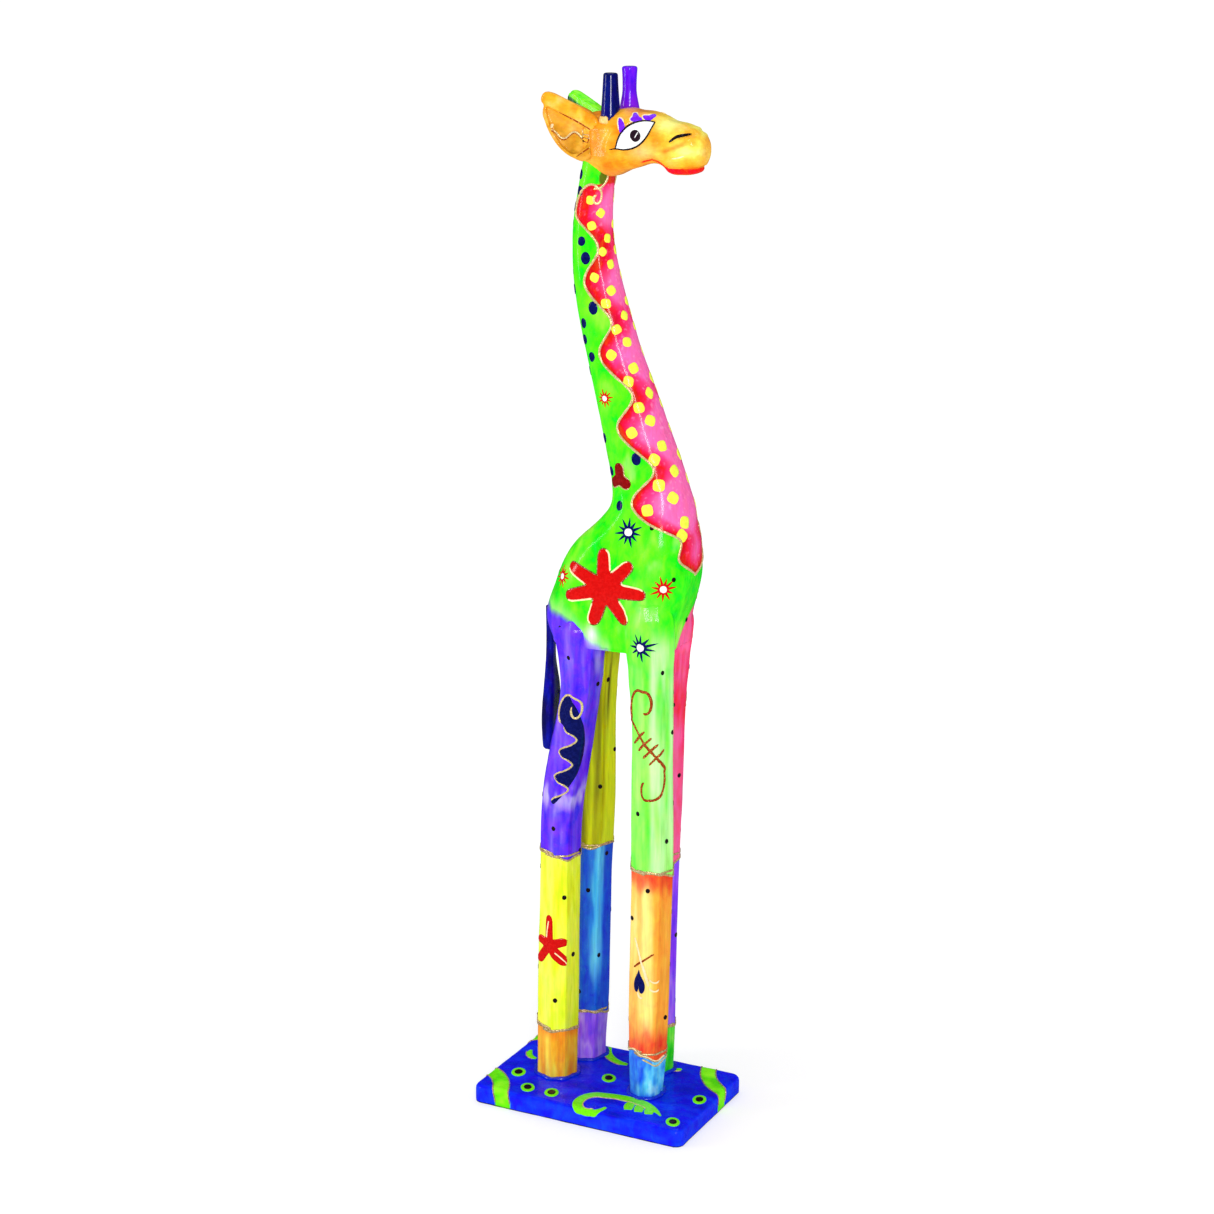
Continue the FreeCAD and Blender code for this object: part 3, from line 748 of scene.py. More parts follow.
def paint_body(piece):
    """Green body and nape, red to pink throat and breast, and the tops of the legs."""
    p, z = piece.points, piece.points[:, 2]
    x, y = p[:, 0], p[:, 1]
    bearing = around_back(piece.bearings())
    grain = noise(p, (9, 9, 22), 3, 3)
    coarse = noise(p, (26, 26, 40), 11, 2)
    green = body_green(p)
    # Painted shade: olive brown at the top of the neck, under the rim of the head, either side of the front.
    shade_under_head = bump_at(z, 900, 8) * (bump_at(bearing, 44, 17) + bump_at(bearing, 138, 17))
    green = mix(green, colour("5c5206"), ramp(shade_under_head + 0.2 * grain, 0.35, 0.6) * 0.85)
    # Painted highlight: near white on the right side of the neck's top, by the ear.
    gleam = bump_at(z, 920, 9) * bump_at(bearing, 5, 22)
    green = mix(green, colour("ecfff0"), ramp(gleam + 0.3 * grain, 0.35, 0.8) * 0.8)

    right = smooth_path(RIGHT_LINE, 8)
    left = smooth_path(LEFT_LINE, 8)
    right_edge = np.interp(z, right[::-1, 1], right[::-1, 0])
    left_edge = np.interp(z, left[::-1, 1], left[::-1, 0])
    reach = np.interp(z, (540, 600, 700, 800, 900), (55, 36, 25, 20, 16)) * np.pi / 180
    inside = np.minimum(bearing - right_edge, left_edge - bearing) * reach
    depth = np.where(z < 537, -5, inside)
    softened = depth + 2.2 * grain - 5.0 * ramp(z, 770, 865)
    red_to_pink = mix(colour("cc0206"), colour("ea0c34"), ramp(softened, 2.5, 8.0))
    red_to_pink = mix(red_to_pink, colour("f43072"), ramp(softened, 6, 15))
    red_to_pink = mix(red_to_pink, colour("f768b0"), ramp(softened + 5 * coarse, 14, 26))
    red_to_pink = mix(red_to_pink, colour("e0061c"), bump_at(z, 866, 24) * ramp(-depth, -19, -11) * 0.85)
    fleck = ramp(noise(p, 2.4, 61, 2), 0.28, 0.6) * ramp(depth, 2, 12)
    red_to_pink = mix(red_to_pink, colour("ffb0d4"), fleck * 0.45)
    colours = mix(green, red_to_pink, ramp(depth, -0.35, 0.35))

    fade = z + 5 * grain
    above = fade - np.interp(x, (-60, -40, -22, -6, 14), (500, 494, 483, 471, 462))
    rear_right = ramp(30 - y, 0, 12) * ramp(16 - x, 0, 6)
    violet = leg_top("rear_right", p)
    colours = mix(colours, colour("b8f8a8"), rear_right * bump_at(above, 4, 9) * 0.55)
    colours = mix(colours, violet, rear_right * ramp(-above, -5, 5))
    patch = bump_at(x, -5, 6) * bump_at(z, 480, 11) * ramp(30 - y, 0, 12)
    colours = mix(colours, colour("eefff4"), patch * 0.9)
    rear_left = ramp(-x, 6, 16) * ramp(y, 22, 34)
    colours = mix(colours, leg_top("rear_left", p), rear_left * ramp(-fade, -490, -472))
    front_left = ramp(bearing - (80 + (z - 465) * 0.55), 0, 3) * ramp(x, 6, 16) * ramp(-fade, -508, -498)
    return mix(colours, leg_top("front_left", p), front_left)


def leg_top(leg, p):
    """Colour of a leg above its upper ring."""
    if leg == "rear_right":
        base = wash(p, ("3a08ea", "5220fb", "6238fc", "7c5cfc"), (6, 6, 46), 41)
        pale = bump_at(p[:, 2], 313, 16) * ramp(noise(p, (8, 8, 14), 5), -0.1, 0.5)
        # Painted highlight (shine) on the front of the leg's top; pale also holds a band of pale lavender paint lower
        # down.
        shine = ramp(p[:, 0], -24, -6) * ramp(noise(p, (6, 6, 30), 6), -0.5, 0.4)
        pale = pale + 0.8 * bump_at(p[:, 2], 452, 24) * shine
        return mix(base, colour("dcd4fa"), np.clip(pale, 0, 1) * 0.7)
    if leg == "rear_left":
        tone = wash(p, ("868200", "a8a800", "ccd200", "dcf000"), (5, 5, 90), 43)
        # Painted shade and light: olive on the side that faces the right legs, bright yellow round the front.
        bright = ramp(p[:, 1] + 2 * noise(p, (5, 5, 60), 44), 33, 37)
        streak = bump_at(p[:, 1], 39, 1.8) * bump_at(p[:, 2], 408, 34)
        return mix(mix(tone, colour("e2ff10"), bright * 0.9), colour("4a4400"), streak * 0.8)
    if leg == "front_left":
        return wash(p, ("f41c44", "fa3c74", "fb62a0", "f8447e"), (8, 8, 40), 45)
    base = wash(p, ("44f21c", "68f838", "88fc4c", "a4fe68"), (8, 8, 60), 47)
    base = mix(base, colour("30ea10"), ramp(-p[:, 0], -38, -28) * 0.7)
    # Near white streaks on the front of the leg: partly pale paint, partly painted highlight.
    side = ramp(p[:, 0], 54, 59) * ramp(noise(p, (7, 7, 60), 7), -0.8, 0.2)
    base = mix(base, colour("dcffc8"), side * 0.7)
    return mix(base, body_green(p), ramp(p[:, 2], 470, 500))


def leg_middle(leg, p, below):
    """Colour of a leg between its rings; below is the distance under the upper one."""
    if leg == "rear_right":
        base = wash(p, ("d4ec08", "e6fc28", "eefe4c", "dcf41c"), (7, 7, 36), 51)
        return mix(base, colour("f4d424"), ramp(noise(p, (9, 9, 40), 9), 0.1, 0.8) * 0.5)
    if leg == "rear_left":
        base = wash(p, ("2c9cff", "44bcff", "66d6ff", "38a4ff"), (5, 5, 60), 53)
        # Painted shade: darker blue on the flats either side of a lit strip down the leg; the blue also turns darker
        # towards the bottom.
        edge = ramp(np.abs(p[:, 1] - 34) + 2 * noise(p, (5, 5, 40), 54), 2.5, 8) * ramp(60 - p[:, 1], 0, 8)
        edge = edge + ramp(-p[:, 2], -128, -84)
        return mix(base, colour("0c44dc"), np.clip(edge, 0, 1) * 0.85)
    if leg == "front_left":
        return wash(p, ("7020f4", "8038ff", "a070fc", "8030ff"), (6, 6, 50), 55)
    base = wash(p, ("f69c38", "fbb648", "fcca58", "fae07c"), (6, 6, 60), 57)
    # Painted highlight: a pale stripe down the leg's front right corner.
    base = mix(base, colour("f8f090"), bump_at(p[:, 0], 54, 5) * 0.7)
    base = mix(base, colour("f88c1c"), ramp(p[:, 0], 58, 62) * 0.6)
    ends = ramp(-below - 7 * noise(p, (5, 5, 18), 15), -24, -5) + ramp(below + 7 * noise(p, (5, 5, 18), 16), 150, 182)
    return mix(base, colour("ee3c1c"), np.clip(ends, 0, 1) * 0.85)


def leg_foot(leg, p):
    """Colour of a leg under its lower ring."""
    if leg == "rear_right":
        return mix(wash(p, ("f08a14", "f8a61c", "fdc22c", "fede40"), (6, 6, 26), 63), colour("f07410"),
                   ramp(p[:, 2], 56, 68) * 0.6)
    if leg == "rear_left":
        return wash(p, ("7c3cff", "9458ff", "bc94ff", "9c64ff"), (6, 6, 26), 65)
    if leg == "front_left":
        return wash(p, ("22d60c", "44ee20", "7cf84c", "50f02c"), (6, 6, 30), 67)
    base = wash(p, ("0c3cc8", "1a64f0", "2f8cf8", "1858e4"), (6, 6, 14), 69)
    cyan = ramp(noise(p, (7, 7, 14), 17) + (p[:, 0] - 50) / 22, -0.2, 0.6)
    return mix(base, wash(p, ("38a8f8", "62d4ff", "a8ecff"), (5, 5, 9), 71), cyan)


def paint_leg(leg, piece):
    """Three blocks of colour parted by the gold rings."""
    p, z = piece.points, piece.points[:, 2]
    bearing = piece.bearings()
    upper = z - ring_height(leg, "upper", bearing)
    lower = z - ring_height(leg, "lower", bearing)
    colours = mix(leg_middle(leg, p, -upper), leg_top(leg, p), ramp(upper, -0.4, 0.4))
    colours = mix(leg_foot(leg, p), colours, ramp(lower, -0.4, 0.4))
    # Painted light and shade: each whittled flat is made paler or darker by its own share.
    tone = np.array(FLAT_SHADES)[piece.facet]
    tone = np.where(z > 455, 0, tone)
    pale = mix(colours, colour("fffff4"), np.clip(tone, 0, 1))
    return pale * (1 + np.clip(tone, -1, 0))[:, None]


def mouth_height(x):
    """Height of the line between the lips."""
    return np.interp(x, (28, 34, 40, 46, 53, 60, 72, 84, 96), (915.5, 917.5, 919, 917, 912.8, 911.6, 912, 912.6, 913.5))


def paint_head(piece):
    """Orange skull, yellow muzzle, red lips, and green on the far side."""
    p = piece.points
    x, y, z = p.T
    base = wash(p, ("dc7c06", "ee9410", "f8a623", "fbb43a"), (13, 13, 11), 81)
    muzzle = wash(p, ("f2a020", "f6bc34", "f8da4c", "f4f07c"), (11, 11, 9), 83)
    colours = mix(base, muzzle, ramp(x + 7 * noise(p, 12, 85), 40, 70) * ramp(z, 910, 928))
    # Painted light: paler yellow over the top of the head.
    top_glow = ramp(z, 944, 956) * ramp(x, 0, 30)
    colours = mix(colours, colour("fbe04c"), top_glow * 0.6)
    # Painted highlight: pale cream on the cheek.
    cheek_highlight = bump_at(x, 34, 14) * bump_at(z, 926, 9)
    colours = mix(colours, colour("fde9b8"), cheek_highlight * 0.55)
    nose = ramp(x + 4 * noise(p, 8, 89), 84, 94)
    colours = mix(colours, colour("f07018"), nose * 0.6)
    # Painted highlights: pale yellow on the top and the side of the muzzle.
    gleam = bump_at(x, 56, 13) * bump_at(z, 950, 7) + bump_at(x, 74, 9) * bump_at(z, 928, 6)
    colours = mix(colours, colour("f4fa94"), np.clip(gleam * (0.9 + 0.4 * noise(p, 7, 90)), 0, 1) * 0.8)
    # Darker orange along the carved crease over the mouth.
    crease_tint = bump_at(off_line(x, z, (54, 927), (72, 934)), 0, 2.2)
    colours = mix(colours, colour("e0701c"), crease_tint * 0.6)
    colours = mix(colours, colour("e06a3c"), bump_at(x, 24, 12) * bump_at(z, 961, 5) * 0.5)
    jaw = ramp(-z, -914, -904) * ramp(-x, -46, -30)
    colours = mix(colours, colour("f0a24c"), jaw * 0.6)
    # Painted shade: darker orange on the head behind the eye, below the ear.
    colours = mix(colours, colour("e4791a"), bump_at(x, -8, 10) * bump_at(z, 926, 16) * 0.45)
    green = wash(p, ("30d010", "68ee24", "a4f83c", "d8f850"), (12, 12, 10), 87)
    far = ramp(y + 3.5 * noise(p, 9, 88) - np.interp(x, (-40, 20, 60, 90), (31, 35, 33, 29)), 0, 3)
    colours = mix(colours, green, far)
    gap = z - mouth_height(x)
    fleshy = ramp(gap, -5.6, -4.9) * ramp(-gap, -0.5, 0.2) * ramp(x, 50, 55)
    thin = ramp(gap, -1.3, -0.8) * ramp(-gap, -0.7, -0.2) * ramp(x, 29, 33) * ramp(-x, -55, -52)
    return mix(colours, colour("ee0c06"), np.clip(fleshy + thin, 0, 1))


def ear_place(side, p):
    """Run and rise along an ear, and how far out of it, for points in the statue's frame."""
    turn = np.radians(EAR_FLARE)
    away = p[:, 0] - EAR_PIVOT_X
    outward = SIDES[side] * (p[:, 1] - MIDDLE_Y) - EAR_SPREAD
    run = away * np.cos(turn) - outward * np.sin(turn)
    out = away * np.sin(turn) + outward * np.cos(turn)
    return run, p[:, 2], out


def paint_ear(side, piece):
    """Yellow on the right ear and greens on the left, with painted shade: brown in the right ear's hollow and dark
    green under the left ear's rim.
    """
    p = piece.points
    run, rise, out = ear_place(side, p)
    below = (942 - 0.53 * run - rise) * 0.88
    dish = ramp(below, 0.5, 5) * ramp(out, -2, 0.5)
    if side == "right":
        base = wash(p, ("e4900e", "f0a420", "f8b43c", "fac468"), (10, 10, 9), 91)
        # Painted shade: brown in the hollow under the rolled rim.
        hollow_shade = wash(p, ("b8780c", "cc8c1c", "e4a43c", "f0b45c"), (9, 9, 8), 93)
        return mix(base, hollow_shade, dish * (0.55 + 0.35 * ramp(run, -45, -5)))
    base = wash(p, ("48dc04", "70f40c", "88fa20", "5ce808"), (10, 10, 9), 95)
    # Painted shade: dark green under the rim.
    hollow_shade = wash(p, ("0e4c08", "186410", "2c8c14"), (9, 9, 8), 97)
    return mix(base, hollow_shade, ramp(below, -3, 0))


# Lime bands over the corners of the board, in its flat chart: the middle line, and half the width.
BANDS = (
    (arc((-130, -92), (51, 60), 83, 0), 8.0),
    (arc((132, 92), (57, 71), 180, 270), 7.6),
    (arc((-134, 92), (43, 46), 0, -90), 7.5),
)


def paint_board(piece):
    """Ultramarine all over, with painted shade making the top darker than the sides, and lime bands at the corners."""
    p = piece.points
    # Painted shade: the top gets darker blues than the sides.
    top = wash(p, ("0010cc", "0418e8", "0824f8", "0c2cff"), (20, 14, 8), 101)
    side = wash(p, ("0a22ea", "0e30fc", "1438fe"), (18, 18, 6), 103)
    colours = mix(side, top, ramp(piece.normals[:, 2], 0.4, 0.85))
    fold = np.where(p[:, 2:] < BOARD_TOP - 0.8, (BOARD_TOP - p[:, 2:]) * np.sign(p[:, :2]), 0)
    ends = np.abs(p[:, :2]) > (109, 68)
    flat = p[:, :2] + fold * ends
    lime = wash(p, ("58e002", "78f80a", "94fc24"), (9, 9, 6), 107)
    for places, half in BANDS:
        path = even_path(smooth_path(places, 8), 3)
        gap = np.min([off_line(flat[:, 0], flat[:, 1], a, b) for a, b in zip(path, path[1:])], axis=0)
        colours = mix(colours, lime, ramp(-gap + 0.5 * noise(p, 6, 108), -half - 0.4, -half + 0.4))
    return mix(colour("050508"), colours, ramp(p[:, 2] + 0.8 * noise(p, 6, 105), 0.3, 1.4))


def paint_plain(codes, seed, piece):
    """One wandering colour."""
    return wash(piece.points, codes, (5, 5, 14), seed)


# ---------------------------------------------------------------- carving

def whittle(piece, coarse, fine, seed):
    """Leave the slight unevenness of knife and sandpaper."""
    p = piece.points
    piece.push(coarse * noise(p, (24, 24, 55), seed) + fine * noise(p, (7, 7, 15), seed + 1))


def off_line(across, up, start, end):
    """Distance of flat points from a straight line between two ends."""
    start, end = np.array(start, float), np.array(end, float)
    along = end - start
    share = np.clip(((across - start[0]) * along[0] + (up - start[1]) * along[1]) / (along @ along), 0, 1)
    return np.hypot(across - start[0] - share * along[0], up - start[1] - share * along[1])


def carve_body():
    """Body and neck: the belly lies back between the legs."""
    piece = Carving("body_and_neck", 1.5)
    piece.smooth(14)
    x, _, z = piece.points.T
    low = ramp(-z, -522, -496)
    right = ramp(x, -6, 6) * ramp(-x, -30.5, -28.5) * ramp(-piece.normals[:, 1], 0.3, 0.7)
    left = ramp(x, -10, 2) * ramp(-x, -21.5, -19.5) * ramp(piece.normals[:, 1], 0.3, 0.7)
    piece.push(-3.2 * low * (right + left))
    whittle(piece, 0.7, 0.22, 201)
    piece.smooth(1, keep_size=False)
    piece.settle()
    return piece


# How far each leg's copy runs up inside the body, so that no joint shows across its outer side.
LEG_RISE = {"front_right": 50, "front_left": 30, "rear_right": 26, "rear_left": 28}
# Bearings of the flats whittled round a leg, and how much paler or darker each is painted: painted light and shade on
# the flats.
LEG_FLATS = (-63, -19, 27, 71, 117, 163, 207, 252)
FLAT_SHADES = (0.0, 0.10, 0.02, -0.06, 0.08, 0.0, 0.10, -0.04)

# How much is whittled off the front of each right leg: heights and millimetres.
LEG_TRIM = {
    "front_right": ((20, 100, 220, 300, 360, 425, 465), (2.5, 2.1, 2.3, 3.2, 4.2, 3.8, 2.0)),
    "rear_right": ((20, 220, 420, 465), (2.8, 3.3, 3.4, 1.0)),
}


def carve_leg(leg):
    """One leg with whittled facets, run up into the body."""
    piece = Carving(f"leg_{leg}", 1.4)
    piece.smooth(6)
    if leg in LEG_TRIM:
        piece.settle()
        toward = np.array([0.891, 0.454])
        reach = (piece.points[:, :2] - np.column_stack(piece.middle(piece.points[:, 2]))) @ toward
        trim = np.interp(piece.points[:, 2], *LEG_TRIM[leg]) * np.clip((reach + 20) / 40, 0, 1)
        piece.points[:, :2] -= toward * trim[:, None]
        piece.refresh()
    lean = (LEGS.index(leg) - 1.5) * 1.5
    piece.plane_off([lean + turn for turn in LEG_FLATS])
    rise = LEG_RISE[leg]
    z = piece.points[:, 2]
    centre = piece.middle(z)
    z = z + rise * ramp(z, 432, 465)
    piece.points[:, 2] = z
    proud = 0.9 * ramp(z, 450, 465) - 4.5 * ramp(z, 461 + rise * 0.7, 465 + rise)
    off = piece.points[:, :2] - np.column_stack(centre)
    off /= np.maximum(np.linalg.norm(off, axis=1), 1e-6)[:, None]
    piece.points[:, :2] += off * proud[:, None]
    piece.refresh()
    piece.smooth(1, keep_size=False)
    whittle(piece, 0.5, 0.15, 210 + LEGS.index(leg))
    piece.settle()
    return piece


def carve_head():
    """Head: sockets, nostrils, the line between the lips and a crease over it."""
    piece = Carving("head", 0.9)
    piece.smooth(16)
    x, y, z = piece.points.T
    piece.points[:, 0] = x - 0.065 * np.clip(x - 48, 0, None)
    piece.points[:, 2] -= 2.6 * ramp(z, 938, 958) * bump_at(x, 62, 26)
    piece.refresh()
    x, y, z = piece.points.T
    side = ramp(np.abs(y - MIDDLE_Y), 5, 9)
    gap = z - mouth_height(x)
    in_mouth = ramp(x, 29, 36) * ramp(-piece.normals[:, 2], -0.75, -0.4)
    depth = -1.5 * np.exp(-((gap / 1.1) ** 2)) * in_mouth
    depth += 0.9 * bump_at(gap, -3.0, 2.2) * ramp(x, 50, 58)
    nostril = off_line(x, z, (62, 937.5), (80, 943.5))
    depth += side * (-1.5 * bump_at(nostril, 0, 1.3) + 0.7 * bump_at(nostril, 4.0, 2.0))
    crease = off_line(x, z, (55, 928), (72, 934.5))
    depth += side * -0.6 * bump_at(crease, 0, 1.6)
    eye_x, eye_z = x - 26, z - 940
    along = eye_x * 0.82 + eye_z * 0.57
    across = -eye_x * 0.57 + eye_z * 0.82
    off = np.hypot(along / 21, across / 11)
    depth += side * (-1.2 * ramp(-off, -1.15, -0.8) + 0.8 * bump_at(off, 1.35, 0.22) * ramp(across, -6, 8))
    piece.push(depth)
    whittle(piece, 0.35, 0.15, 221)
    piece.smooth(1, keep_size=False)
    piece.settle()
    return piece


def carve_ear(side):
    """Ear: a rolled top rim, the hollow under it and a fold at the lobe."""
    piece = Carving(f"ear_{side}", 0.75)
    piece.smooth(5)
    run, rise, out = ear_place(side, piece.points)
    below = (942 - 0.53 * run - rise) * 0.88
    face = ramp(out, -1.5, 1.0)
    roll = 1.9 * np.sqrt(np.clip(1 - ((below + 6.5) / 7.0) ** 2, 0, 1))
    hollow = -1.3 * bump_at(below, 2.6, 2.4)
    fold = (run + 14.5) * 0.703 + 919 - rise
    lobe = 1.8 * bump_at(fold * 0.82, 5.0, 4.0) * ramp(run, -32, -14)
    rim = 0.9 * bump_at(np.hypot((run + 10) / 38, (rise - 944) / 30), 1.02, 0.08) * ramp(below, 4, 12)
    piece.push(face * (roll + hollow + lobe + rim))
    whittle(piece, 0.3, 0.15, 231)
    piece.smooth(1, keep_size=False)
    piece.settle()
    return piece


def carve_simple(node, voxel, rounds, coarse, fine, seed):
    """A piece that only needs smoothing and a hand-made unevenness."""
    piece = Carving(node, voxel)
    piece.smooth(rounds)
    whittle(piece, coarse, fine, seed)
    piece.settle()
    return piece


# ---------------------------------------------------------------- the scene

# Lamps: name, place in metres, width, height, power and share in reflections.
LAMPS = (
    ("key", (1.3, -2.3, 1.4), 0.45, 0.8, 36, 1.0),
    ("fill", (-2.0, -1.4, 1.0), 0.3, 1.2, 13, 0.25),
    ("top", (-0.3, 0.4, 2.8), 1.6, 1.6, 14, 0.25),
)
# The camera: degrees round from the right side, degrees up, and metres.
CAMERA_AZIMUTH, CAMERA_ELEVATION, CAMERA_DISTANCE = 27.0, 15.6, 2.531
CAMERA_TARGET = (-0.001, 0, 0.501)


def make_stage():
    """Plain pale floor, soft light and a camera."""
    mesh = bpy.data.meshes.new("floor")
    mesh.from_pydata([(-60, -60, 0), (60, -60, 0), (60, 60, 0), (-60, 60, 0)], [], [(0, 1, 2, 3)])
    floor = bpy.data.objects.new("floor", mesh)
    bpy.context.scene.collection.objects.link(floor)
    shader = Shader("floor_white")
    glossy = shader.node("ShaderNodeLightPath").outputs["Is Glossy Ray"]
    shader.feed(shader.surface.inputs["Base Color"], shader.blend(glossy, (0.6, 0.6, 0.6, 1), (0.12, 0.12, 0.12, 1)))
    shader.surface.inputs["Roughness"].default_value = 0.85
    shader.surface.inputs["Specular IOR Level"].default_value = 0.1
    shader.surface.inputs["Emission Color"].default_value = (1, 1, 1, 1)
    far = shader.node("ShaderNodeVectorMath", operation="LENGTH")
    shader.feed(far.inputs[0], shader.place)
    glow = shader.spread(far.outputs["Value"], 0.46, 0.70, 0.15, 1.2)
    dim = shader.node("ShaderNodeMath", operation="MULTIPLY")
    shader.feed(dim.inputs[0], glow)
    shader.feed(dim.inputs[1], shader.spread(glossy, 1.0, 0.0, 0.0, 1.0))
    shader.feed(shader.surface.inputs["Emission Strength"], dim.outputs[0])
    mesh.materials.append(shader.material)

    world = bpy.data.worlds.new("studio")
    bpy.context.scene.world = world
    world.use_nodes = True
    background = world.node_tree.nodes["Background"]
    background.inputs["Color"].default_value = (1, 1, 1, 1)
    path = world.node_tree.nodes.new("ShaderNodeLightPath")
    dim = world.node_tree.nodes.new("ShaderNodeMapRange")
    dim.inputs["To Min"].default_value = 0.60
    dim.inputs["To Max"].default_value = 0.06
    world.node_tree.links.new(path.outputs["Is Glossy Ray"], dim.inputs["Value"])
    world.node_tree.links.new(dim.outputs["Result"], background.inputs["Strength"])

    for name, place, width, height, power, gleam in LAMPS:
        light = bpy.data.lights.new(name, "AREA")
        light.shape = "RECTANGLE"
        light.size, light.size_y, light.energy = width, height, power
        light.specular_factor = gleam
        lamp = bpy.data.objects.new(name, light)
        lamp.location = place
        lamp.rotation_euler = (Vector((0, 0, 0.5)) - Vector(place)).to_track_quat("-Z", "Y").to_euler()
        bpy.context.scene.collection.objects.link(lamp)

    azimuth, elevation = np.radians(CAMERA_AZIMUTH), np.radians(CAMERA_ELEVATION)
    away = Vector(
        (np.sin(azimuth) * np.cos(elevation), -np.cos(azimuth) * np.cos(elevation), np.sin(elevation))
    )
    lens = bpy.data.cameras.new("camera")
    lens.lens, lens.sensor_width = 80, 36
    camera = bpy.data.objects.new("camera", lens)
    camera.location = Vector(CAMERA_TARGET) + away * CAMERA_DISTANCE
    camera.rotation_euler = (-away).to_track_quat("-Z", "Y").to_euler()
    bpy.context.scene.collection.objects.link(camera)
    bpy.context.scene.camera = camera
    bpy.context.scene.view_settings.view_transform = "Standard"


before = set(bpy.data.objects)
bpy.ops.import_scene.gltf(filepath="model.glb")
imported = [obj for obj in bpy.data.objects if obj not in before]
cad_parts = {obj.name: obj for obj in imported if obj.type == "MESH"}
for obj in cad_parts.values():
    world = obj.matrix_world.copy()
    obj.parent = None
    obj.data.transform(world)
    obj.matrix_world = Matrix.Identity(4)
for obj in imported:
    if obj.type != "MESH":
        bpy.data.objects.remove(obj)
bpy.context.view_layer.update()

body = carve_body()
legs = {leg: carve_leg(leg) for leg in LEGS}
head = carve_head()
ears = {side: carve_ear(side) for side in SIDES}
ears["left"].points += (-3.0, 0, -3.0)
ears["left"].refresh()
ears["left"].settle()
horns = {side: carve_simple(f"horn_{side}", 0.8, 10, 0.25, 0.12, 241) for side in SIDES}
horns["left"].push(2.0 * ramp(-horns["left"].points[:, 2], -978, -958))
horns["left"].settle()
tail = carve_simple("tail", 0.8, 8, 0.4, 0.3, 251)
board = carve_simple("base_board", 1.2, 3, 0.4, 0.12, 261)
board.points[:, :2] *= (1.018, 1.016)
board.refresh()
board.settle()

body_paint = brushed_paint("body_paint")
body.show(body_paint, "body_paint", paint_body(body))
for leg, piece in legs.items():
    material = brushed_paint(f"leg_{leg}_paint", along=(1, 1, 14))
    piece.show(material, f"leg_{leg}_paint", paint_leg(leg, piece))
head.show(brushed_paint("head_paint", along=(2.5, 1, 1)), "head_paint", paint_head(head))
for side, piece in ears.items():
    piece.show(brushed_paint(f"ear_{side}_paint", along=(2.5, 1, 1)), "ear_paint", paint_ear(side, piece))
navy = brushed_paint("navy_paint", coat=0.5, rough=(0.14, 0.26), strength=0.6)
purple = brushed_paint("purple_paint", coat=0.5, rough=(0.16, 0.28), strength=0.6)
horns["right"].show(navy, "navy_paint", paint_plain(("010430", "020a5c", "03107c"), 111, horns["right"]))
horns["left"].show(purple, "purple_paint", mix(
    paint_plain(("5200e8", "6008f0", "7414fa"), 113, horns["left"]), colour("8a20e8"),
    ramp(-horns["left"].points[:, 2], -976, -958) * 0.8,
))
tail.show(navy, "navy_paint", paint_plain(("010348", "020670", "050ca0"), 115, tail))
board.show(brushed_paint("board_paint", coat=0.12, rough=(0.2, 0.34), along=(3, 1, 1), strength=0.4),
           "board_paint", paint_board(board))

# Every thick paint: its slot, its darkest and palest colour, and what else its material needs.
COATS = {
    "orange": ("head_paint", "eea424", "fce6a8", {}),
    "gold": ("gold_paint", "7a4a14", "f6dc9c", {"metallic": 0.35, "speck": "fff4d8", "size": 2.2}),
    "navy": ("navy_paint", "000334", "04126c", {"coat": 0.25}),
    "red": ("red_paint", "b40000", "e00602", {"coat": 0.4}),
    "maroon": ("red_paint", "5a0204", "9c0808", {}),
    "brown": ("red_paint", "5c1c04", "b8460c", {"speck": "f0b860", "size": 2.0}),
    "black": ("black_paint", "030204", "241420", {}),
    "white": ("white_paint", "dfe6e4", "ffffff", {}),
    "cream": ("white_paint", "ecca84", "fff4d0", {}),
    "yellow": ("yellow_paint", "d8ee20", "f8fc60", {}),
    "lime": ("lime_paint", "56de02", "8efa14", {}),
    "purple": ("purple_paint", "5a08e8", "8a28ff", {}),
    "blue": ("board_paint", "0410a0", "1038f0", {"coat": 1.0}),
}
coats = {name: Paint() for name in COATS}


def dots(coat, carving, places, radius=2.3):
    """Round dots at bearings and heights of a piece."""
    for number, place in enumerate(places):
        shape = oval(radius * 1.06, radius * 0.94, 14, number)
        coats[coat].spot(carving, on_upright(carving, *place), shape, lift=0.4)


def burst(coat, carving, place, radius, seed, heart="white"):
    """A small sun with thin rays and a pale middle."""
    lengths = radius * (1 + 0.12 * np.sin(np.arange(11) * 2.3 + seed))
    radii = rounded_star(lengths * 1.18, radius * 0.5, 110, 2.1)
    coats[coat].spot(carving, on_upright(carving, *place), radii, lift=0.4, spin=seed * 13.0, ring_step=1.2)
    coats[heart].spot(carving, on_upright(carving, *place), uneven(radius * 0.33, 16, seed), lift=0.9)


def line(coat, carving, places, width=1.8, height=0.9, seed=0, closed=False, chart=on_upright, tint=0.5):
    """A bead of paint through places of a chart."""
    points = line_on(carving, places, 10, closed, chart)
    coats[coat].bead(carving, points, width, height, seed=seed, closed=closed, tint=tint)


def brush(coat, carving, places, width, chart=on_upright, start=0.3, end=0.3, lift=0.4):
    """A brush stroke through places of a chart; width is half its widest."""
    points = line_on(carving, places, 10, False, chart, step=1.2)
    coats[coat].stroke(carving, points, taper(len(points), width, start, end), lift)


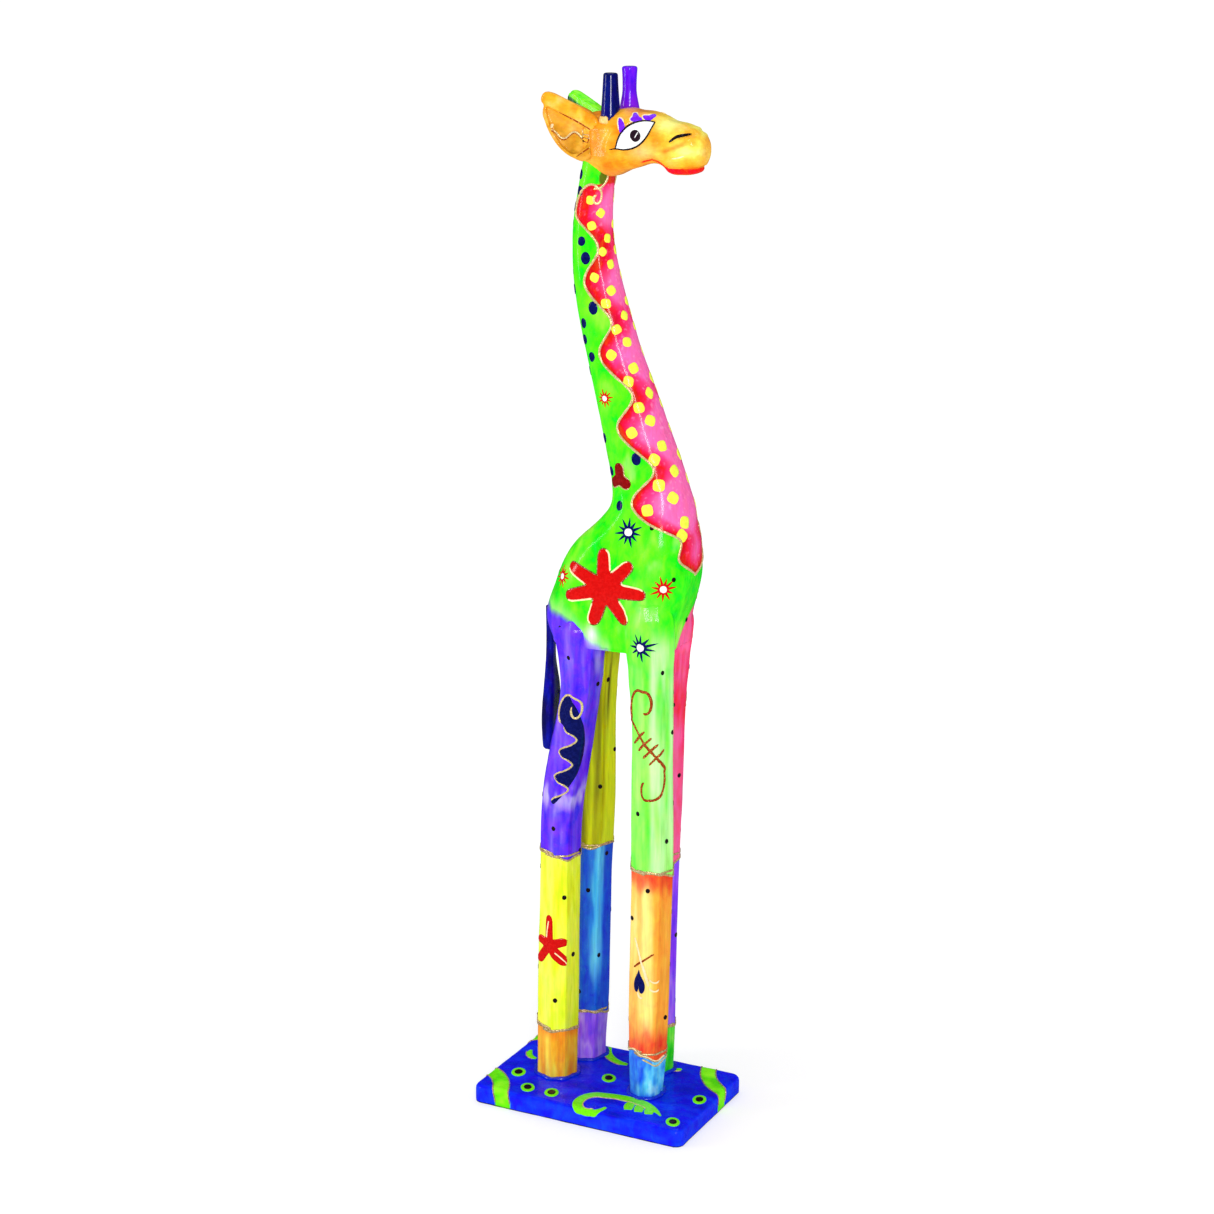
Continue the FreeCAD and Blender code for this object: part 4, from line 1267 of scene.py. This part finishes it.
def big_star(carving, place, arms, coat="red", seed=0, half=7.8):
    """A large finger star, with a raised gold line round it tinted dark as painted shade at its edge, and a cream line
    down one side of each finger as painted highlight.
    """
    chart = flat_about(on_upright(carving, *place))
    outline = finger_star(arms, half)
    coats[coat].patch(carving, outline, chart, lift=0.7)
    turns = np.degrees(np.arctan2(outline[:, 1], outline[:, 0])) % 360
    ordered = outline[np.argsort(turns)]
    dark = even_path(ordered, 1.5, closed=True)
    # Painted shade: the raised gold line round the star is tinted its darkest.
    line("gold", carving, dark[::2], 1.5, 0.8, seed, True, chart, tint=0.1)
    # Painted highlight: a cream line down one side of each finger.
    for number, (angle, _) in enumerate(arms):
        start, end = (angle + (4, -22)[number % 3 == 2]) % 360, (angle + (27, 4)[number % 3 == 2]) % 360
        sweep = (np.degrees(np.arctan2(dark[:, 1], dark[:, 0])) - start) % 360 < (end - start) % 360
        part = dark[sweep]
        part = part[np.argsort((np.degrees(np.arctan2(part[:, 1], part[:, 0])) - start) % 360)]
        if len(part) > 4:
            line("cream", carving, part[::3], 1.9, 1.3, seed + number, False, chart)


def star_arms(count, length, turn, seed):
    """Fingers at nearly even turns and of nearly one length."""
    return [
        (turn + 360 * n / count + 5 * np.sin(2.3 * n + seed), length * (1 + 0.07 * np.sin(1.7 * n + 2 * seed)))
        for n in range(count)
    ]


def splash_arms():
    """Five fingers, the upright ones longest."""
    angles = [90 + 72 * n for n in range(5)]
    return [(angle, 14 + 17 * np.sin(np.radians(angle)) ** 2) for angle in angles]


def double_hook(across, up):
    """A slanting line with a hook and a curl at each end."""
    path = arc((-1, 42), (17, 11), 250, 430, 7) + arc((-15, 31), (36, 22), 80, 215, 9)
    path += arc((15, -32), (36, 22), 35, -90, 8) + arc((1, -45), (14, 9), -100, -250, 6)
    return [(across + x, up + z) for x, z in path]


def leg_dots(carving, seed, busy=()):
    """Black dots scattered over a leg, clear of its larger motifs."""
    places = []
    for n in range(28):
        bearing = (GOLDEN_TURN * n + 61 * seed) % 360 - 180
        height = 92 + 13.4 * n + 4 * np.sin(3.1 * n + seed)
        if not any(abs(bearing - b) < wide and abs(height - z) < tall for b, z, wide, tall in busy):
            places.append((bearing, height))
    dots("black", carving, places)


def decorate_neck():
    """Gold lines, navy spots on the green and yellow spots on the pink."""
    for seed, places in enumerate((RIGHT_LINE, LEFT_LINE, RIGHT_CURL, LEFT_CURL)):
        line("gold", body, places, 2.3, 1.3, 11 + seed, tint=0.75 if seed < 2 else 1.0)
    clear = {"right": ((701, 12), (627, 18)), "left": ((722, 12), (640, 18))}
    for side in SIDES:
        shift = 0 if side == "right" else 8
        for number, height in enumerate(range(602 + shift, 905, 15)):
            if any(abs(height - place) < reach for place, reach in clear[side]) and number % 3 != 2:
                continue
            edge = float(neck_edge(np.array(float(height)), side))
            bearing = max(edge - (24, 50, 82)[number % 3] + 5 * np.sin(2.4 * number + shift), -80)
            radius = 3.4 + 1.0 * (edge > 25) * (number % 3 == 0)
            place = on_upright(body, bearing if side == "right" else 180 - bearing, height)
            coats["navy"].spot(body, place, oval(radius * 1.4, radius * 1.12, 18, number), lift=0.5)
        for number, height in enumerate(np.arange(578 + shift * 1.45, 880, 11.6)):
            edge = float(neck_edge(np.array(height), side))
            bearing = edge + (92 - edge) * (0.28, 0.68)[number % 2] + 3 * np.sin(1.9 * number + shift)
            size = 3.7 + 0.006 * (900 - height)
            squarish = 1.08 + 0.07 * np.cos(4 * (np.arange(24) * np.pi / 12 + number))
            radii = size * squarish * uneven(1.0, 24, number, 0.08)
            place = on_upright(body, bearing if side == "right" else 180 - bearing, height)
            coats["yellow"].spot(body, place, radii, lift=0.4)


def decorate_body():
    """Star, suns, a dark bud and black dots on the body."""
    big_star(body, (-5, 525), star_arms(7, 40, -6, 1), seed=1)
    big_star(body, (182, 522), star_arms(7, 40, 12, 4), seed=2)
    for coat, place, radius, seed in (
        ("red", (-28, 700), 7.5, 1), ("navy", (0, 580), 11.5, 2), ("red", (55, 530), 10.5, 3),
        ("red", (-55, 530), 9, 5), ("red", (-155, 722), 7.5, 6),
        ("navy", (178, 578), 11, 7), ("red", (118, 512), 10, 8), ("navy", (-92, 556), 10, 9),
        ("navy", (-128, 508), 10, 10), ("red", (-96, 508), 9, 11), ("red", (-90, 690), 6.5, 12),
    ):
        burst(coat, body, place, radius, seed)
    for bearing, height, seed in ((-34, 627, 1), (-146, 640, 2)):
        chart = flat_about(on_upright(body, bearing, height))
        outline = finger_star(star_arms(3, 14, 92, seed), 5.4, 0.02, 5)
        coats["maroon"].patch(body, outline, chart, lift=0.6)
        line("gold", body, outline[:20:3], 1.5, 0.9, seed, chart=chart)
        line("gold", body, outline[44:66:3], 1.5, 0.9, seed, chart=chart)
    dots("black", body, [
        ((GOLDEN_TURN * n) % 360 - 180, 472 + 9.5 * n) for n in range(13)
        if min(abs(((GOLDEN_TURN * n) % 360 - 180 - b + 180) % 360 - 180) for b in (-5, 182)) > 30
    ], 2.2)


def decorate_rear_right(leg):
    """Curled navy ribbon, a red splash and dots."""
    outer = [(-4 + 66 * np.sin(np.pi * t) ** 0.8, 416 - 112 * t) for t in np.linspace(0.02, 0.98, 10)]
    wave = [(14 - 22 * np.cos(2 * np.pi * (height - 309) / 25.5), height) for height in np.arange(309, 386, 4.25)]
    coats["navy"].patch(leg, smooth_path(outer + wave + arc((-4, 401), (30, 16), 235, 100, 6), 4, closed=True),
                        on_upright, reach=0.42, lift=0.7)
    line("gold", leg, wave, 1.9, 1.2, 2, tint=0.8)
    curl = arc((-4, 401), (31, 16.5), 235, 60, 8) + arc((22, 404), (14, 9), 60, -200, 9)
    line("gold", leg, curl, 2.3, 1.3, 1, tint=0.9)
    chart = flat_about(on_upright(leg, 0, 160))
    splash = finger_star(splash_arms(), 5.0, 0.02)
    coats["red"].patch(leg, splash, chart, lift=0.7)
    # Painted highlights: two cream strokes on the red splash.
    line("cream", leg, ((-3, 6), (-2, 16), (0, 26)), 1.8, 1.0, 4, chart=chart)
    line("cream", leg, ((5, -6), (11, -14), (15, -20)), 1.8, 1.0, 5, chart=chart)
    leg_dots(leg, 1, ((10, 362, 70, 62), (0, 158, 62, 36)))


def decorate_front_right(leg):
    """Slanting hooked line with ribs, pale strokes, a navy heart and dots."""
    burst("navy", leg, (2, 475), 11, 4)
    line("brown", leg, double_hook(9, 380), 2.7, 0.9, 21)
    for n in range(4):
        x, z = -14 + 17 * n, 387 - 6 * n
        line("brown", leg, ((x - 20, z - 8), (x, z), (x + 20, z + 7)), 2.5, 0.9, 22 + n)
    line("cream", leg, ((-24, 185), (2, 163), (24, 137)), 2.6, 1.2, 25)
    line("brown", leg, ((-26, 154), (5, 163), (36, 171)), 2.0, 0.9, 26)
    for rise in (134, 143):
        line("cream", leg, arc((40, rise + 4), (16, 6), 200, 320, 5), 1.8, 1.0, 28)
    turns = np.linspace(0, 2 * np.pi, 26)[:-1]
    heart = np.column_stack([
        -5 + 19 * np.sin(turns) ** 3,
        140 - 0.9 * (13 * np.cos(turns) - 5 * np.cos(2 * turns) - 2 * np.cos(3 * turns) - np.cos(4 * turns)),
    ])
    coats["navy"].patch(leg, smooth_path(heart, 3, closed=True), on_upright, reach=0.42, lift=0.7)
    line("cream", leg, arc((4, 133), (12, 8), 200, 290, 5), 2.4, 1.4, 30)
    leg_dots(leg, 2, ((8, 380, 62, 60), (0, 155, 66, 36)))


def decorate_far_leg(leg, coat, seed):
    """A hooked line, a splash and dots on a leg of the left side."""
    carving = legs[leg]
    line("gold" if coat != "maroon" else "brown", carving, double_hook(190, 372), 1.9, 1.0, seed)
    chart = flat_about(on_upright(carving, 184, 158 + seed))
    coats[coat].patch(carving, finger_star(splash_arms(), 4.4, 0.02), chart, lift=0.7)
    leg_dots(carving, seed, ((-170, 372, 70, 60), (180, 160, 62, 36), (-180, 160, 62, 36), (180, 372, 60, 60)))


def decorate_head():
    """Eyes, lashes, nostrils and the gold line in each ear."""
    for side in SIDES:
        chart = on_side(side)
        upper = bezier((9.5, 928), (12, 943), (22, 957), (44, 952))
        lower = bezier((44, 952), (36, 934), (29, 925), (9.5, 928))
        white = even_path(np.array(upper[:-1] + lower[:-1]), 0.8, closed=True)
        coats["white"].patch(head, white, chart, lift=0.35, grid=1.4)
        brush("black", head, upper, 1.15, chart, 0.6, 0.4, 0.8)
        brush("black", head, lower + [(4, 927)], 1.05, chart, 0.5, 0.3, 0.8)
        coats["black"].spot(head, chart(head, 27.5, 940), oval(5.3, 4.9, 26, 1), lift=0.65, tint=1.0)
        glint = line_on(head, ((27, 938), (28.5, 941), (30, 943.5)), 6, False, chart, 0.6)
        coats["white"].stroke(head, glint, taper(len(glint), 0.7), lift=1.1)
        for x, z, angles in (
            (15.5, 948.0, ((106, 8.5), (270, 6))), (26.5, 955.0, ((104, 7.5), (196, 6), (344, 6))),
            (37.0, 955.0, ((40, 8), (160, 6.5), (280, 3))),
        ):
            lash = flat_about(chart(head, x, z))
            turned = [(angle if side == "right" else 180 - angle, length) for angle, length in angles]
            petal = finger_star(turned, 3.4, 0.16, 8)
            coats["purple"].patch(head, petal, lash, lift=0.5, grid=1.2)
            line("cream", head, petal[8:30:3], 1.3, 0.8, int(x), chart=lash)
        brush("black", head, ((59.5, 935.5), (66.5, 940.5), (78, 943)), 1.9, chart, 0.3, 0.15, 0.5)
        brush("cream", head, ((62, 921), (68, 922), (74, 924)), 0.9, chart)
    ear_line = [(run, 939 + 3.6 * np.cos((run + 38) / 3.4) - (run + 38) * 0.07) for run in np.arange(-38, 0, 3.1)]
    for side, carving in ears.items():
        turn = np.radians(EAR_FLARE)
        axis = np.array([np.cos(turn), -SIDES[side] * np.sin(turn), 0])
        away = np.array([np.sin(turn), SIDES[side] * np.cos(turn), 0])
        root = np.array([EAR_PIVOT_X, MIDDLE_Y + SIDES[side] * EAR_SPREAD, 0.0])

        def on_ear(carving, run, rise):
            return carving.cast(root + axis * run + np.array([0, 0, rise]) + away * 60, -away)

        # Painted shade: a brown line just under the raised gold line.
        line("brown", carving, [(run, rise - 0.9) for run, rise in ear_line], 1.6, 0.7, 52, chart=on_ear)
        line("gold", carving, ear_line, 1.8, 1.1, 51, chart=on_ear, tint=0.9)
        # Painted shade: a brown stroke in the fold at the lobe.
        brush("brown", carving, ((-14.5, 919), (-6, 925), (4, 931)), 0.8, on_ear, 0.3, 0.2, 0.25)
        coats["cream"].spot(carving, on_ear(carving, -38, 945.5), oval(2.6, 1.4, 14, 3, 60), lift=0.9)
        # Painted shade: a brown stroke along the groove under the rolled rim.
        brush("brown", carving, ((-34, 960), (-12, 949.5), (9, 937)), 1.1, on_ear,
              0.2, 0.2, 0.25)


def decorate_board():
    """Lime curls and rings on the ultramarine, gold edges on the bands, and thick paint round the feet."""
    leaf = arc((12, -54), (15, 19), -10, -270, 14) + bezier((14, -34.5), (34, -28), (64, -30), (82, -50))[1:]
    stem = line_on(board, leaf, 6, False, on_board, step=1.2)
    along = np.linspace(0, 1, len(stem))
    coats["lime"].stroke(board, stem, np.interp(along, (0, 0.12, 0.45, 0.8, 1), (1.8, 4.8, 5.6, 7.0, 0.8)), 0.6)
    for x in (44, 55, 66):
        brush("lime", board, ((x, -34), (x + 1, -43), (x + 4, -52)), 5.4, on_board, 0.1, 0.7, 0.62)
    line("gold", board, beside(leaf, -5.4)[2:-3], 1.4, 0.9, 41, chart=on_board, tint=0.8)
    for centre, radii, start, end, width in (
        ((0, 68), (31, 30), 185, 275, 5.0), ((46, 54), (9, 6), 200, 350, 4.0), ((-50, 64), (15, 18), 175, 280, 4.5),
        ((-86, 24), (13, 15), 180, 275, 3.6),
    ):
        curve = arc(centre, radii, start, end)
        brush("lime", board, curve, width, on_board, 0.4, 0.4, 0.6)
        line("gold", board, beside(curve, -width * 0.9)[1:-1], 1.3, 0.8, 42, chart=on_board, tint=0.6)
    feet = [piece.points[piece.points[:, 2] < 24].mean(0)[:2] for piece in legs.values()]
    number = 0
    for row in range(5):
        for column in range(7):
            x = -98 + 33 * column + 16 * (row % 2) + 4 * np.sin(5 * row + 2 * column)
            y = -55 + 28 * row + 3 * np.sin(3 * row + column)
            in_leaf = -20 < x < 92 and y < -18
            near = min(np.hypot(x - a, y - b) for a, b in ((-16, 44), (46, 54), (-56, 54), (-92, 14)))
            gap = min(np.hypot(*(np.array(place) - (x, y))) - half for places, half in BANDS for place in places)
            if abs(x) > 102 or abs(y) > 62 or in_leaf or near < 19 or gap < 9 or min(
                np.hypot(*(foot - (x, y))) for foot in feet
            ) < 30:
                continue
            number += 1
            place = on_board(board, x, y)
            coats["lime"].spot(board, place, oval(9.6, 7.0, 24, number, 112 + 10 * (number % 2)), lift=0.5)
            coats["black"].spot(board, place, oval(5.4, 4.0, 18, number, 112 + 10 * (number % 2)), lift=0.85)
    for number, (places, half) in enumerate(BANDS):
        path = smooth_path(places, 8)
        for sign in (-1, 1):
            edge = beside(path, half * sign)[1:-1:3]
            drop = np.maximum(np.abs(edge) - (111, 70), 0).sum(1)
            line("gold", board, edge[drop < 15], 1.3, 0.9, 61 + number, chart=on_board, tint=0.4)
    for leg, piece in legs.items():
        foot = [on_upright(piece, bearing, 21)[0] for bearing in range(0, 360, 8)]
        centre = np.mean(foot, axis=0)
        ring = np.array([point + (point - centre) / np.linalg.norm(point - centre) * 0.8 for point in foot])
        ring[:, 2] = BOARD_TOP
        coats["blue"].bead(board, ring, 6.0, 2.4, seed=71 + LEGS.index(leg), closed=True)


for leg, piece in legs.items():
    for ring in ("upper", "lower"):
        around = [(b, ring_height(leg, ring, b)) for b in range(0, 360, 12)]
        coats["gold"].bead(piece, line_on(piece, around, 4, closed=True), 2.2, 1.1, seed=LEGS.index(leg), closed=True)
strand = [
    (b, ring_height("front_right", "lower", b) - 3.2 - 1.8 * np.sin(np.radians(2 * b))) for b in range(10, 120, 12)
]
line("gold", legs["front_right"], strand, 1.8, 1.0, 6, tint=0.9)
# Painted highlight: a cream line along the top of the front right leg's lower gold ring, on its right side and front.
strand = [(b, ring_height("front_right", "lower", b) + 0.6) for b in range(-60, 90, 12)]
line("cream", legs["front_right"], strand, 1.3, 1.4, 7)
decorate_neck()
decorate_body()
decorate_rear_right(legs["rear_right"])
decorate_front_right(legs["front_right"])
decorate_far_leg("rear_left", "maroon", 3)
decorate_far_leg("front_left", "navy", 5)
decorate_head()
decorate_board()
collar = [on_upright(horns["right"], bearing, 952.5)[0] for bearing in range(0, 360, 15)]
coats["orange"].bead(horns["right"], collar, 7.0, 2.2, seed=81, closed=True)
for name, (slot, low, high, more) in COATS.items():
    coats[name].finish(f"{name}_touches", thick_paint(f"{name}_touches_paint", low, high, **more), slot)

bare = thick_paint("bare_wood", "b88a58", "d8b484", (0.5, 0.7), 0.0)
steel = thick_paint("screw_steel", "787c80", "b4b8bc", (0.25, 0.4), 0.0, 1.0, "5c6064", 2.0)
for name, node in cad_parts.items():
    if "screw" in name or "dowel" in name or "peg" in name:
        node.data.materials.clear()
        node.data.materials.append(steel if "screw" in name else bare)

make_stage()
